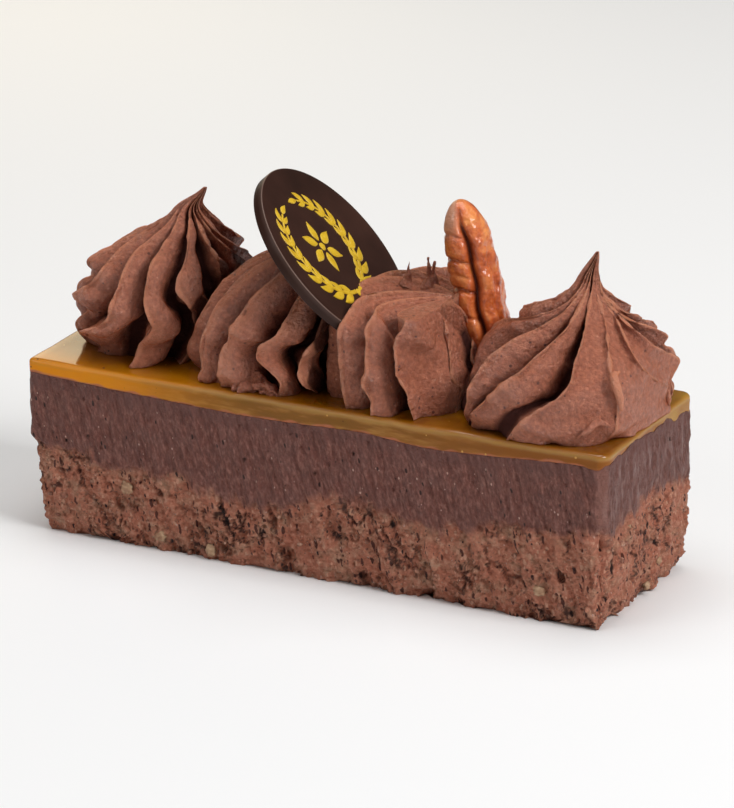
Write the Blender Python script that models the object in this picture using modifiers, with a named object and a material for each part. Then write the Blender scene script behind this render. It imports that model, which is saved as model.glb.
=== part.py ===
"""A bar-shaped slice of layered chocolate cake.

A crumbly nut sponge carries a chocolate cream layer and a thin fruit jelly.  Four piped
rosettes of chocolate cream stand in a row on the jelly.  A chocolate disc leans between
the second and the third rosette, and half a pecan stands between the third and the fourth.

Metres, +Z up, +X along the slice, front face towards -Y.  The origin is the middle of the
slice's underside.
"""
import math
import random

import bmesh
import bpy
from mathutils import Matrix, Vector, noise

MM = 0.001
MERGE = 0.002 * MM              # points closer than this are one

# The slice
LENGTH = 111 * MM
WIDTH = 36 * MM
HEIGHT = 32 * MM
CORNER = 2.0 * MM               # cut across the upright corners
LEFT_SHARPNESS = 0.35           # share of that cut at the left end, whose corners are crisp
GAP = 0.3 * MM                  # clearance between touching pieces
HALF_GAP = 0.15                 # each piece's share of it, in millimetres
CELLS_X = 30                    # facets along the slice
CELLS_Y = 6

# Heights of the two seams along the front face, as (x, z)
SPONGE_TOP = ((-55, 16.8), (-41, 15.0), (-24, 14.5), (-14, 11.4), (-4, 13.4),
              (7, 16.1), (22, 13.9), (36, 16.8), (55, 17.6))
JELLY_UNDERSIDE = ((-55, 29.6), (-37, 28.9), (-13, 28.3), (10, 28.9), (23, 28.2),
                   (36, 28.9), (55, 30.2))
SPONGE_TOP_REAR = 16.5 * MM     # mean heights of the two seams at the back
JELLY_UNDERSIDE_REAR = 29.4 * MM
CORNER_RISE = 2.0 * MM          # the seam climbs round the right-hand end
CORNER_RUN = 9 * MM             # length over which it climbs
SPONGE_STEP = 1.1 * MM          # the sponge stands back under the cream at the left end
LEFT_TAPER = 2.2 * MM           # how far each side leans in at the bottom
RIGHT_TAPER = 1.1 * MM
SIDE_TAPER = 0.8 * MM
CRUMB = 0.45 * MM               # depth of the sponge's rough surface
CRUMB_SIZE = 3.1 * MM           # width of its lumps
RAGGED = 0.8 * MM               # the lower edge lifts by up to this much
RAGGED_SIZE = 4.3 * MM
CREAM_RELIEF = 0.12 * MM
JELLY_RELIEF = 0.06 * MM

# The rosettes: foot, bulge radius and tip offset from the foot in millimetres; the turn of
# the ridges above and below the waist in radians, and how late it sets in (curl); the
# valleys' depth as a share of the radius (fins); the radius by height, both as shares
RIDGES = 14
FACETS_PER_RIDGE = 5
RINGS = 15
ROSETTES = {
    "rosette_1": dict(foot=(-39.4, 0.6), radius=16.3, tip=(10.2, -1.0, 30.0), phase=0.0,
                      twist_top=0.50, twist_foot=0.45, waist=0.45, curl=1.5, fins=0.36,
                      profile=((0, .80), (.10, .92), (.24, 1.0), (.40, .99), (.55, .82),
                               (.68, .54), (.78, .30), (.87, .15), (.94, .07), (1, .02))),
    "rosette_2": dict(foot=(-12.9, 0.4), radius=18.6, tip=(6.5, 0.0, 23.3), phase=0.2,
                      twist_top=1.00, twist_foot=0.60, waist=0.48, curl=1.5, fins=0.32,
                      profile=((0, .93), (.08, .98), (.20, 1.0), (.40, .98), (.60, .86),
                               (.76, .68), (.88, .45), (1, .05))),
    "rosette_3": dict(foot=(13.3, 0.2), radius=18.5, tip=(3.4, 0.6, 19.8), phase=0.1,
                      twist_top=1.55, twist_foot=0.22, waist=0.62, curl=1.4, fins=0.31,
                      profile=((0, .96), (.10, 1.0), (.22, 1.02), (.40, 1.01), (.60, .94),
                               (.78, .80), (.90, .60), (1, .04))),
    "rosette_4": dict(foot=(39.6, 0.2), radius=19.4, tip=(5.9, -0.2, 29.2), phase=0.3,
                      twist_top=0.62, twist_foot=-0.58, waist=0.50, curl=1.1, fins=0.36,
                      profile=((0, .88), (.10, .98), (.24, 1.0), (.38, .90), (.51, .70),
                               (.62, .46), (.69, .29), (.75, .17), (.86, .09), (1, .015))),
}
VALLEY_POWER = 0.8              # below 1 the valleys are wide and the crests sharp
FIN_FADE = 0.45                 # share of the depth that is lost towards the tip
FADE_START = 0.6                # height share where it begins to be lost
LEAN_POWER = 1.5                # the lean towards the tip grows with height
RIDGE_SPREAD = 0.05             # ridges differ by this share of the radius
FRONT_LIMIT = 18.3 * MM         # no ridge reaches past the slice's long sides
SQUASH_POWER = 14               # how sharply a ridge flattens against its neighbour
# Upright planes, each as (x at the jelly, lean), where a rosette ends or meets the next
CONTACTS = ((-56.0, 0.0), (-29.4, 0.14), (-1.4, 0.05), (23.5, 0.0), (56.4, 0.0))

# The chocolate disc: its face looks right and up
DISC_RADIUS = 18.0 * MM
DISC_THICKNESS = 2.1 * MM
DISC_EDGE = 0.3 * MM
DISC_FACETS = 44
DISC_FACE_CENTRE = Vector((-3.9, 0.0, 53.5)) * MM
DISC_NORMAL = Vector((0.73, 0.13, 0.67)).normalized()

# The pecan half
PECAN_TOP = Vector((17.2, 4.5, 65.0)) * MM
PECAN_FOOT = Vector((24.2, 4.5, 34.9)) * MM
PECAN_WIDTH = 4.6 * MM          # half of the width across the flat side
PECAN_DEPTH = 4.4 * MM          # half of the thickness, less on the flat side
PECAN_FLATNESS = 0.75
PECAN_TURN = math.radians(51)   # turn of the rounded back about the long axis
PECAN_GROOVE = 0.42             # depth of the two long grooves, most at the foot
GROOVE_ANGLE = 0.42             # each groove's angle from the middle of the back
GROOVE_WIDTH = 0.24
WRINKLE = 0.05                  # depth of the cross wrinkles
WRINKLES = 10
BLUNTNESS = 2.9

# Colours are linear RGB
SPONGE = (0.150, 0.075, 0.045)
CREAM = (0.105, 0.052, 0.043)
JELLY = (0.420, 0.200, 0.015)
PIPED = (0.215, 0.088, 0.056)
DARK = (0.030, 0.014, 0.011)
NUT = (0.400, 0.110, 0.030)


def material(name, colour, roughness):
    """A plain Principled material."""
    made = bpy.data.materials.new(name)
    made.use_nodes = True
    shader = made.node_tree.nodes["Principled BSDF"]
    shader.inputs["Base Color"].default_value = (*colour, 1.0)
    shader.inputs["Roughness"].default_value = roughness
    shader.inputs["Metallic"].default_value = 0.0
    made.diffuse_color = (*colour, 1.0)
    return made


def collection(name):
    made = bpy.data.collections.new(name)
    bpy.context.scene.collection.children.link(made)
    return made


def finish(bm, name, home, finish_material, smooth=True):
    """Turn a bmesh into a named object in a collection."""
    bmesh.ops.recalc_face_normals(bm, faces=bm.faces)
    mesh = bpy.data.meshes.new(name)
    bm.to_mesh(mesh)
    bm.free()
    if smooth:
        mesh.shade_smooth()
    mesh.materials.append(finish_material)
    made = bpy.data.objects.new(name, mesh)
    home.objects.link(made)
    return made


def curve_through(points, at):
    """Smooth (Hermite) curve through (x, y) points, held level past both ends."""
    if at <= points[0][0]:
        return points[0][1]
    if at >= points[-1][0]:
        return points[-1][1]
    last = len(points) - 1

    def slope(i):
        a = points[max(i - 1, 0)]
        b = points[min(i + 1, last)]
        return (b[1] - a[1]) / (b[0] - a[0])

    i = max(k for k in range(last) if points[k][0] <= at)
    (x0, y0), (x1, y1) = points[i], points[i + 1]
    span = x1 - x0
    t = (at - x0) / span
    return ((2 * t**3 - 3 * t**2 + 1) * y0 + (t**3 - 2 * t**2 + t) * span * slope(i)
            + (3 * t**2 - 2 * t**3) * y1 + (t**3 - t**2) * span * slope(i + 1))


# ---------------------------------------------------------------- the layered slice

def sponge_seam(x, y):
    """Height of the seam between sponge and cream: the front line fades to the rear one."""
    front = curve_through(SPONGE_TOP, x / MM) * MM
    rear = SPONGE_TOP_REAR + 0.9 * MM * math.sin(x / (8 * MM))
    share = 0.5 - y / WIDTH
    rise = CORNER_RISE * math.exp(-((x - LENGTH / 2) / CORNER_RUN) ** 2)
    return front * share + rear * (1 - share) + rise * math.sin(math.pi * share)


def jelly_seam(x, y):
    """Height of the seam between cream and jelly."""
    front = curve_through(JELLY_UNDERSIDE, x / MM) * MM
    rear = JELLY_UNDERSIDE_REAR + 0.5 * MM * math.sin(x / (11 * MM))
    share = 0.5 - y / WIDTH
    return front * share + rear * (1 - share)


def lattice(cells_z):
    """A box of the slice's plan, cut into cells; z runs from 0 to 1 through the layer."""
    bm = bmesh.new()
    bmesh.ops.create_cube(bm, size=1.0)
    bmesh.ops.scale(bm, vec=(LENGTH, WIDTH, 1.0), verts=bm.verts)
    bmesh.ops.translate(bm, vec=(0, 0, 0.5), verts=bm.verts)
    inner_x = LENGTH / 2 - CORNER
    inner_y = WIDTH / 2 - CORNER
    cuts = [((-inner_x + 2 * inner_x * i / (CELLS_X - 2), 0, 0), (1, 0, 0))
            for i in range(CELLS_X - 1)]
    cuts += [((0, -inner_y + 2 * inner_y * i / (CELLS_Y - 2), 0), (0, 1, 0))
             for i in range(CELLS_Y - 1)]
    cuts += [((0, 0, i / cells_z), (0, 0, 1)) for i in range(1, cells_z)]
    for point, normal in cuts:
        everything = bm.verts[:] + bm.edges[:] + bm.faces[:]
        bmesh.ops.bisect_plane(bm, geom=everything, plane_co=point, plane_no=normal)
    return bm


def cut_corner(x, y):
    """Pull a corner's outermost point in, so that the upright corners are cut across."""
    over_x = abs(x) - (LENGTH / 2 - CORNER)
    over_y = abs(y) - (WIDTH / 2 - CORNER)
    if over_x > 0 and over_y > 0:
        pull = max(over_x, over_y) / math.hypot(over_x, over_y)
        if x < 0:
            pull = 1 + (pull - 1) * LEFT_SHARPNESS
        x = math.copysign(LENGTH / 2 - CORNER + over_x * pull, x)
        y = math.copysign(WIDTH / 2 - CORNER + over_y * pull, y)
    return x, y


def taper(x, y, z):
    """Lean the sides in towards the bottom, most at the left end."""
    low = max(0.0, 1 - z / SPONGE_TOP_REAR)
    reach = x / (LENGTH / 2)
    lean = LEFT_TAPER if x < 0 else RIGHT_TAPER
    x -= lean * low * reach ** 3
    y -= SIDE_TAPER * low * (y / (WIDTH / 2)) ** 3
    return x, y


def shape_layer(bm, lower, upper, crumb, step, ragged):
    """Move the lattice between two height functions and roughen its outside."""
    for vert in bm.verts:
        x0, y0, share = vert.co
        outside = max(abs(x0) / (LENGTH / 2), abs(y0) / (WIDTH / 2)) > 0.999
        low_edge = outside and share < 0.001
        z = lower(x0, y0) * (1 - share) + upper(x0, y0) * share
        x, y = cut_corner(x0, y0)
        x, y = taper(x, y, z)
        if x0 < -0.999 * LENGTH / 2:
            x += step
        if outside:
            rough = noise.noise_vector(Vector((x0, y0, z)) / CRUMB_SIZE)
            x += crumb * rough.x
            y += crumb * rough.y
        z = lower(x, y) * (1 - share) + upper(x, y) * share
        if low_edge and ragged:
            z += ragged * abs(noise.noise(Vector((x0, y0, HEIGHT)) / RAGGED_SIZE))
        vert.co = (x, y, z)


def make_layers(home):
    sponge = lattice(5)
    shape_layer(sponge, lambda x, y: 0.0, lambda x, y: sponge_seam(x, y) - GAP / 2,
                CRUMB, SPONGE_STEP, RAGGED)
    finish(sponge, "sponge_base", home, material("sponge", SPONGE, 0.9))

    cream = lattice(3)
    shape_layer(cream, lambda x, y: sponge_seam(x, y) + GAP / 2,
                lambda x, y: jelly_seam(x, y) - GAP / 2, CREAM_RELIEF, 0, 0)
    finish(cream, "cream_layer", home, material("cream", CREAM, 0.6))

    jelly = lattice(2)
    shape_layer(jelly, lambda x, y: jelly_seam(x, y) + GAP / 2, lambda x, y: HEIGHT,
                JELLY_RELIEF, 0, 0)
    finish(jelly, "jelly_top", home, material("jelly", JELLY, 0.15))


# ---------------------------------------------------------------- the rosettes

def twist(shape, share):
    """Turn of the ridges at a share of the height, zero at the waist."""
    waist = shape["waist"]
    above = max(0.0, (share - waist) / (1 - waist))
    below = max(0.0, 1 - share / waist)
    curl = shape["curl"]
    return shape["twist_top"] * above ** curl + shape["twist_foot"] * below ** curl


def press(value, low, high):
    """Hold a coordinate between two planes, flattening softly as it nears them."""
    limit = high if value > 0 else -low
    return value / (1 + abs(value / limit) ** SQUASH_POWER) ** (1 / SQUASH_POWER)


def place(shape, place_in_row, share, dx, dy):
    """Put an offset from the foot's middle at its height, between the contact planes."""
    foot_x, foot_y = shape["foot"]
    rise = shape["tip"][2] * share
    low, high = (at + lean * rise - foot_x
                 for at, lean in CONTACTS[place_in_row:place_in_row + 2])
    x = press(dx, (low + HALF_GAP) * MM, (high - HALF_GAP) * MM)
    y = press(dy, -FRONT_LIMIT, FRONT_LIMIT)
    return Vector((foot_x * MM + x, foot_y * MM + y, HEIGHT + GAP + rise * MM))


def rosette_point(shape, place_in_row, ridge_sizes, share, turn):
    """Point of a rosette: share runs from foot to tip, turn counts ridges round it.

    The radius follows the profile, less a valley that is deepest half-way between two
    crests; the ridges twist with height, and the whole leans towards its tip.
    """
    ridge = turn % RIDGES
    k = int(ridge)
    off = ridge - k
    size = ridge_sizes[k] * (1 - off) + ridge_sizes[(k + 1) % RIDGES] * off
    valley = math.sin(math.pi * off) ** VALLEY_POWER
    faded = max(0.0, share - FADE_START) / (1 - FADE_START)
    depth = shape["fins"] * (1 - FIN_FADE * faded)
    radius = shape["radius"] * MM * curve_through(shape["profile"], share)
    radius *= size * (1 - depth * valley)
    angle = 2 * math.pi * (turn + shape["phase"]) / RIDGES + twist(shape, share)
    lean = share ** LEAN_POWER
    dx = radius * math.cos(angle) + shape["tip"][0] * MM * lean
    dy = radius * math.sin(angle) + shape["tip"][1] * MM * lean
    return place(shape, place_in_row, share, dx, dy)


def behind_disc(point):
    """Press a point back behind the disc's rear face."""
    proud = (point - DISC_FACE_CENTRE).dot(DISC_NORMAL) + DISC_THICKNESS + GAP
    if proud > 0:
        point = point - DISC_NORMAL * proud
    return point


def make_rosette(name, place_in_row, home, finish_material):
    """A ball whose rings are carried onto the rosette's profile."""
    shape = ROSETTES[name]
    draw = random.Random(name)
    sizes = [1 + draw.uniform(-RIDGE_SPREAD, RIDGE_SPREAD) for _ in range(RIDGES)]
    bm = bmesh.new()
    bmesh.ops.create_uvsphere(bm, u_segments=RIDGES * FACETS_PER_RIDGE,
                              v_segments=RINGS, radius=1.0)
    for vert in bm.verts:
        ring = round(math.acos(max(-1.0, min(1.0, vert.co.z))) / math.pi * RINGS)
        if ring == RINGS:
            vert.co = place(shape, place_in_row, 0.0, 0.0, 0.0)
            continue
        share = 1 - ring / (RINGS - 1)
        turn = math.atan2(vert.co.y, vert.co.x) / (2 * math.pi) * RIDGES
        if ring == 0:
            tip_x, tip_y, _ = shape["tip"]
            point = place(shape, place_in_row, 1.0, tip_x * MM, tip_y * MM)
        else:
            point = rosette_point(shape, place_in_row, sizes, share, turn)
        if name == "rosette_2":
            point = behind_disc(point)
        vert.co = point
    return finish(bm, name, home, finish_material)


# ---------------------------------------------------------------- disc and pecan

def make_disc(name, home, finish_material, grow):
    """A short cylinder turned to the disc's normal; grow enlarges it all round."""
    bm = bmesh.new()
    bmesh.ops.create_cone(bm, cap_ends=True, segments=DISC_FACETS,
                          radius1=DISC_RADIUS + grow, radius2=DISC_RADIUS + grow,
                          depth=DISC_THICKNESS + 2 * grow)
    made = finish(bm, name, home, finish_material, smooth=False)
    turn = DISC_NORMAL.to_track_quat("Z", "Y").to_matrix().to_4x4()
    middle = DISC_FACE_CENTRE - DISC_NORMAL * (DISC_THICKNESS / 2)
    made.matrix_world = Matrix.Translation(middle) @ turn
    return made


def pecan_frame():
    """Middle of the pecan, its long axis, and the way its rounded back looks."""
    axis = (PECAN_TOP - PECAN_FOOT).normalized()
    outward = Matrix.Rotation(PECAN_TURN, 3, axis) @ Vector((0, -1, 0))
    outward = (outward - axis * outward.dot(axis)).normalized()
    sideways = outward.cross(axis)
    return (PECAN_TOP + PECAN_FOOT) / 2, axis, outward, sideways


def make_pecan(name, home, finish_material, grow, around, rings, relief):
    """A ball drawn out to a blunt spindle, with two long grooves and cross wrinkles."""
    middle, axis, outward, sideways = pecan_frame()
    half_length = (PECAN_TOP - PECAN_FOOT).length / 2 + grow
    bm = bmesh.new()
    bmesh.ops.create_uvsphere(bm, u_segments=around, v_segments=rings, radius=1.0)
    for vert in bm.verts:
        along = vert.co.z
        girth = max(0.0, 1 - abs(along) ** BLUNTNESS) ** 0.5
        angle = math.atan2(vert.co.x, vert.co.y)
        groove = sum(math.exp(-((angle - at) / GROOVE_WIDTH) ** 2)
                     for at in (-GROOVE_ANGLE, GROOVE_ANGLE))
        groove *= PECAN_GROOVE * (0.65 - 0.35 * along)
        wrinkle = WRINKLE * math.sin(WRINKLES * along + 2 * math.cos(2 * angle))
        size = girth * (1 - relief * (groove - wrinkle))
        across = (PECAN_WIDTH + grow) * size * math.sin(angle)
        out = (PECAN_DEPTH + grow) * size * math.cos(angle)
        if out < 0:
            out *= PECAN_FLATNESS
        vert.co = middle + axis * half_length * along + sideways * across + outward * out
    return finish(bm, name, home, finish_material)


# ---------------------------------------------------------------- cutting pockets

def keep_largest(bm):
    """Drop every loose scrap but the biggest body."""
    left = set(bm.faces)
    bodies = []
    while left:
        body = set()
        front = [left.pop()]
        while front:
            face = front.pop()
            body.add(face)
            for edge in face.edges:
                for near in edge.link_faces:
                    if near in left:
                        left.discard(near)
                        front.append(near)
        bodies.append(body)
    bodies.sort(key=len)
    scraps = [face for body in bodies[:-1] for face in body]
    bmesh.ops.delete(bm, geom=scraps, context="FACES")


def cut_pocket(target, cutters):
    """Cut each cutter out of the target and keep its largest body."""
    for cutter in cutters:
        pocket = target.modifiers.new(cutter.name, "BOOLEAN")
        pocket.operation = "DIFFERENCE"
        pocket.object = cutter
        pocket.solver = "EXACT"
    bpy.context.view_layer.update()
    evaluated = target.evaluated_get(bpy.context.evaluated_depsgraph_get())
    mesh = bpy.data.meshes.new_from_object(evaluated)
    target.modifiers.clear()
    bm = bmesh.new()
    bm.from_mesh(mesh)
    keep_largest(bm)
    bmesh.ops.remove_doubles(bm, verts=bm.verts, dist=MERGE)
    bmesh.ops.triangulate(bm, faces=bm.faces)
    bm.to_mesh(mesh)
    bm.free()
    target.data = mesh


def main():
    for old in list(bpy.data.objects):
        bpy.data.objects.remove(old)
    home = collection("layered_chocolate_slice")
    cutters = collection("cutters")

    make_layers(home)
    piped = material("piped_cream", PIPED, 0.5)
    rosettes = {}
    for place_in_row, name in enumerate(ROSETTES):
        rosettes[name] = make_rosette(name, place_in_row, home, piped)

    dark = material("dark_chocolate", DARK, 0.2)
    disc = make_disc("chocolate_disc", home, dark, 0.0)
    edge = disc.modifiers.new("soft edge", "BEVEL")
    edge.width = DISC_EDGE
    edge.segments = 1
    edge.limit_method = "ANGLE"
    slot = make_disc("disc_slot", cutters, dark, GAP)

    nut = material("pecan", NUT, 0.35)
    make_pecan("pecan_half", home, nut, 0.0, 30, 18, 1.0)
    socket = make_pecan("pecan_socket", cutters, nut, 1.5 * GAP, 20, 12, 0.0)
    for cutter in (slot, socket):
        cutter.hide_render = True
        cutter.display_type = "WIRE"

    cut_pocket(rosettes["rosette_3"], (slot, socket))
    cut_pocket(rosettes["rosette_4"], (socket,))


main()
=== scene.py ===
# %% [markdown]
# # A slice of layered chocolate cake
# The cake stands on a pale table under soft studio light.  Its CAD model gives the frame: three
# layers, four piped rosettes, a chocolate disc and half a pecan.  Here each of them gets the
# surface that the real one has: crumb, cut cream, amber jelly, torn ridges and glazed nut.
# Everything is computed with numpy in millimetres and scaled to metres as it enters a mesh.

# %% The frame
import math

import bpy
import numpy as np
from mathutils import Matrix, Vector


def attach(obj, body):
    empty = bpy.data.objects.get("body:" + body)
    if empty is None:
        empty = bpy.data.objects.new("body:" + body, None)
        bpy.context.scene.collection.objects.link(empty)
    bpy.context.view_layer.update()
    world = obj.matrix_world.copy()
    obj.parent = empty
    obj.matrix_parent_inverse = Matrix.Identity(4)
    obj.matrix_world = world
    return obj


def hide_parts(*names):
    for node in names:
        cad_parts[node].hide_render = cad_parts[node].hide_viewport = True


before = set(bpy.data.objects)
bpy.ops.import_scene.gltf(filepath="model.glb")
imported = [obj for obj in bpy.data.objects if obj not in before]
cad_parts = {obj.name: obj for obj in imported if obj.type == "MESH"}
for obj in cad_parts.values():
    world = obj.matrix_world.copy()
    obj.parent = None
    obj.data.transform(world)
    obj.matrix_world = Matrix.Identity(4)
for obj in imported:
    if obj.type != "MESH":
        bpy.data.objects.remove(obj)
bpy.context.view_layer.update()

MM = 0.001
print("CAD nodes:", ", ".join(sorted(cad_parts)))

# %% [markdown]
# Crumb, cream and nut are all uneven in the same way: soft lumps of some size, with finer
# lumps on them.  A lattice of random heights, blended smoothly between its points, gives such
# lumps for any number of points at once.  A second helper gives pores: the distance to the
# nearest of many scattered centres.

# %% Random lumps and pores
LATTICE = 32


def lumps(points, size, seed):
    """Soft bumps between -1 and 1: random heights on a cubic lattice, blended between the
    eight lattice points around each place with weights 3t^2 - 2t^3 along each axis."""
    heights = np.random.default_rng(seed).uniform(-1, 1, (LATTICE,) * 3)
    spot = points / size
    cell = np.floor(spot).astype(int)
    t = spot - cell
    t = t * t * (3 - 2 * t)
    total = np.zeros(points.shape[:-1])
    for corner in np.ndindex(2, 2, 2):
        weight = np.prod(np.where(corner, t, 1 - t), axis=-1)
        i, j, k = np.moveaxis((cell + corner) % LATTICE, -1, 0)
        total += weight * heights[i, j, k]
    return total


def rough(points, size, seed, octaves=3):
    """Lumps with lumps on them: each finer layer has half the size and half the height."""
    return sum(lumps(points, size / 2**k, seed + k) / 2**k for k in range(octaves))


def cells(points, size, seed):
    """Distances, in cells, to the nearest and second nearest of the centres scattered one to
    a lattice cell: small nearest distances are pores, small differences are cracks."""
    shifts = np.random.default_rng(seed).uniform(0, 1, (LATTICE, LATTICE, LATTICE, 3))
    spot = points / size
    cell = np.floor(spot).astype(int)
    nearest = np.full(points.shape[:-1], np.inf)
    second = nearest.copy()
    for step in np.ndindex(3, 3, 3):
        near = cell + np.array(step) - 1
        i, j, k = np.moveaxis(near % LATTICE, -1, 0)
        away = np.linalg.norm(near + shifts[i, j, k] - spot, axis=-1)
        second = np.minimum(second, np.maximum(nearest, away))
        nearest = np.minimum(nearest, away)
    return nearest, second


def ease(x, low, high):
    """0 below low, 1 above high, and 3t^2 - 2t^3 between them."""
    t = np.clip((x - low) / (high - low), 0, 1)
    return t * t * (3 - 2 * t)


def bell(x, middle, spread):
    """1 at the middle, falling to nothing on both sides: e^(-((x - middle) / spread)^2)."""
    return np.exp(-((x - middle) / spread) ** 2)


def through(points, x):
    """Smooth curve through (x, y) points: Hermite pieces whose slope at each point is that
    of the line between its two neighbours."""
    xs, ys = np.array(points, float).T
    slope = np.empty_like(ys)
    slope[1:-1] = (ys[2:] - ys[:-2]) / (xs[2:] - xs[:-2])
    slope[0] = (ys[1] - ys[0]) / (xs[1] - xs[0])
    slope[-1] = (ys[-1] - ys[-2]) / (xs[-1] - xs[-2])
    i = np.clip(np.searchsorted(xs, x, side="right") - 1, 0, len(xs) - 2)
    span = xs[i + 1] - xs[i]
    t = np.clip((x - xs[i]) / span, 0, 1)
    return ((2 * t**3 - 3 * t**2 + 1) * ys[i] + (t**3 - 2 * t**2 + t) * span * slope[i]
            + (3 * t**2 - 2 * t**3) * ys[i + 1] + (t**3 - t**2) * span * slope[i + 1])


# %% [markdown]
# Every new piece is a closed skin: rings of points from one end to the other, joined by
# quads, with a single point closing each end.  Values that a material follows, such as how
# close a point is to a ridge's crest, are stored on the points as attributes.

# %% Skins
def listed(arrays):
    """A single array as a list of one."""
    return [arrays] if isinstance(arrays, np.ndarray) else arrays


def skin(name, parts, finish, marks=None):
    """Closed smooth mesh from an array of rings (rings x columns x 3, in mm), counted so that
    the columns run anticlockwise seen from the last ring's side, or from a list of such
    arrays.  A mark has a value for every point of the rings; an end's point gets the mean."""
    points, faces, count = [], [], 0
    for rings in listed(parts):
        rows, columns = rings.shape[:2]
        points += [rings.reshape(-1, 3), rings[0].mean(0)[None], rings[-1].mean(0)[None]]
        column = np.arange(columns)
        after = (column + 1) % columns
        start = np.arange(rows - 1)[:, None] * columns
        quads = np.stack([start + column, start + after, start + columns + after,
                          start + columns + column], -1).reshape(-1, 4)
        last = (rows - 1) * columns
        low = np.stack([np.full(columns, rows * columns), after, column], -1)
        high = np.stack([np.full(columns, rows * columns + 1), last + column, last + after], -1)
        for kind in (quads, low, high):
            faces += (kind + count).tolist()
        count += rows * columns + 2
    mesh = bpy.data.meshes.new(name)
    mesh.from_pydata((np.concatenate(points) * MM).tolist(), [], faces)
    for key, values in (marks or {}).items():
        flat = [part for grid in listed(values)
                for part in (grid.ravel(), [grid[0].mean(), grid[-1].mean()])]
        mesh.attributes.new(key, "FLOAT", "POINT").data.foreach_set("value", np.concatenate(flat))
    mesh.update()
    mesh.shade_smooth()
    mesh.materials.append(finish)
    made = bpy.data.objects.new(name, mesh)
    bpy.context.scene.collection.objects.link(made)
    print(f"{name}: {len(mesh.polygons)} faces")
    return made


# %% [markdown]
# A material is a tree of nodes.  It is easiest to read when each node is one call that says
# what feeds it, so one helper makes a node and links or sets its inputs by name, and another
# makes an empty group with its sockets.

# %% Nodes and groups
def feed(tree, socket, value):
    """Link another node's output to an input socket, or set its plain value; a colour gets
    an alpha of 1."""
    if isinstance(value, bpy.types.NodeSocket):
        tree.links.new(value, socket)
    else:
        socket.default_value = (*value, 1.0) if socket.type == "RGBA" else value


def give(tree, node, **inputs):
    """Feed a node's inputs by name, spaces written as _."""
    for label, value in inputs.items():
        feed(tree, node.inputs[label.replace("_", " ")], value)


def add(tree, kind, settings=None, **inputs):
    """A shader node with its own settings, and inputs by name."""
    node = tree.nodes.new("ShaderNode" + kind)
    for name, value in (settings or {}).items():
        setattr(node, name, value)
    give(tree, node, **inputs)
    return node


def calculate(tree, operation, *values):
    """Output of a Math node fed with two outputs or numbers."""
    node = add(tree, "Math", {"operation": operation})
    for socket, value in zip(node.inputs, values):
        feed(tree, socket, value)
    return node.outputs["Value"]


def stepped(tree, value, low, high, **inputs):
    """A share that goes from 0 to 1 as the value goes from low to high."""
    return add(tree, "MapRange", Value=value, From_Min=low, From_Max=high,
               **inputs).outputs["Result"]


def mixed(tree, share, first, second):
    """The first colour turned into the second by a share."""
    return add(tree, "Mix", {"data_type": "RGBA"}, Factor=share, A=first,
               B=second).outputs["Result"]


def new_group(name, inputs, outputs):
    """A shader node group with sockets given as name and type, what its inputs give, and the
    sockets of its results."""
    group = bpy.data.node_groups.new(name, "ShaderNodeTree")
    for way, sockets in (("INPUT", inputs), ("OUTPUT", outputs)):
        for label, kind in sockets.items():
            group.interface.new_socket(label, in_out=way, socket_type="NodeSocket" + kind)
    given, result = (group.nodes.new("NodeGroup" + end) for end in ("Input", "Output"))
    return group, given.outputs, result.inputs


# %% [markdown]
# Real creams and crumbs aren't one colour.  Each finish starts from the colour measured on
# its lit middle, wanders a little to a darker and a lighter one with soft noise, and gets its
# fine relief from a Bump node.  Specks, grains and pits are dots scattered over it.  These
# three effects are needed again and again, so each is a group with its values as inputs.

# %% Shared effects
def wandering_colour():
    """Mixes dark, middle and light colours by soft noise: middle most, the others at the
    noise's two ends."""
    group, given, result = new_group("wandering colour", {
        "Vector": "Vector", "Dark": "Color", "Middle": "Color", "Light": "Color",
        "Scale": "Float"}, {"Color": "Color"})
    noise = add(group, "TexNoise", Vector=given["Vector"], Scale=given["Scale"], Detail=4.0,
                Roughness=0.6).outputs["Fac"]
    colour = mixed(group, stepped(group, noise, 0.50, 0.30), given["Middle"], given["Dark"])
    colour = mixed(group, stepped(group, noise, 0.50, 0.70), colour, given["Light"])
    feed(group, result["Color"], colour)
    return group


def fine_relief():
    """Height of a grainy skin: fine noise less sparse pinholes, which are the cores of
    Voronoi cells."""
    group, given, result = new_group("fine relief", {
        "Vector": "Vector", "Scale": "Float", "Pinholes": "Float"}, {"Height": "Float"})
    noise = add(group, "TexNoise", Vector=given["Vector"], Scale=given["Scale"], Detail=5.0,
                Roughness=0.7).outputs["Fac"]
    sparse = calculate(group, "MULTIPLY", given["Scale"], 0.3)
    away = add(group, "TexVoronoi", Vector=given["Vector"], Scale=sparse).outputs["Distance"]
    hole = calculate(group, "MULTIPLY", stepped(group, away, 0.16, 0.06), given["Pinholes"])
    feed(group, result["Height"], calculate(group, "SUBTRACT", noise, hole))
    return group


def scattered_dots():
    """Mask of scattered dots: cores of Voronoi cells, only in the given share of the cells,
    each with its own size."""
    group, given, result = new_group("scattered dots", {
        "Vector": "Vector", "Scale": "Float", "Share": "Float", "Size": "Float"},
        {"Mask": "Float"})
    cell = add(group, "TexVoronoi", Vector=given["Vector"], Scale=given["Scale"]).outputs
    chance = add(group, "SeparateColor", Color=cell["Color"]).outputs
    chosen = calculate(group, "LESS_THAN", chance["Red"], given["Share"])
    size = calculate(group, "MULTIPLY", chance["Green"], given["Size"])
    soft = stepped(group, calculate(group, "SUBTRACT", size, cell["Distance"]), 0.0, 0.06)
    feed(group, result["Mask"], calculate(group, "MULTIPLY", soft, chosen))
    return group


WANDER, RELIEF, DOTS = wandering_colour(), fine_relief(), scattered_dots()
print("shared effects:", WANDER.name, "and", RELIEF.name, "and", DOTS.name)


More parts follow.
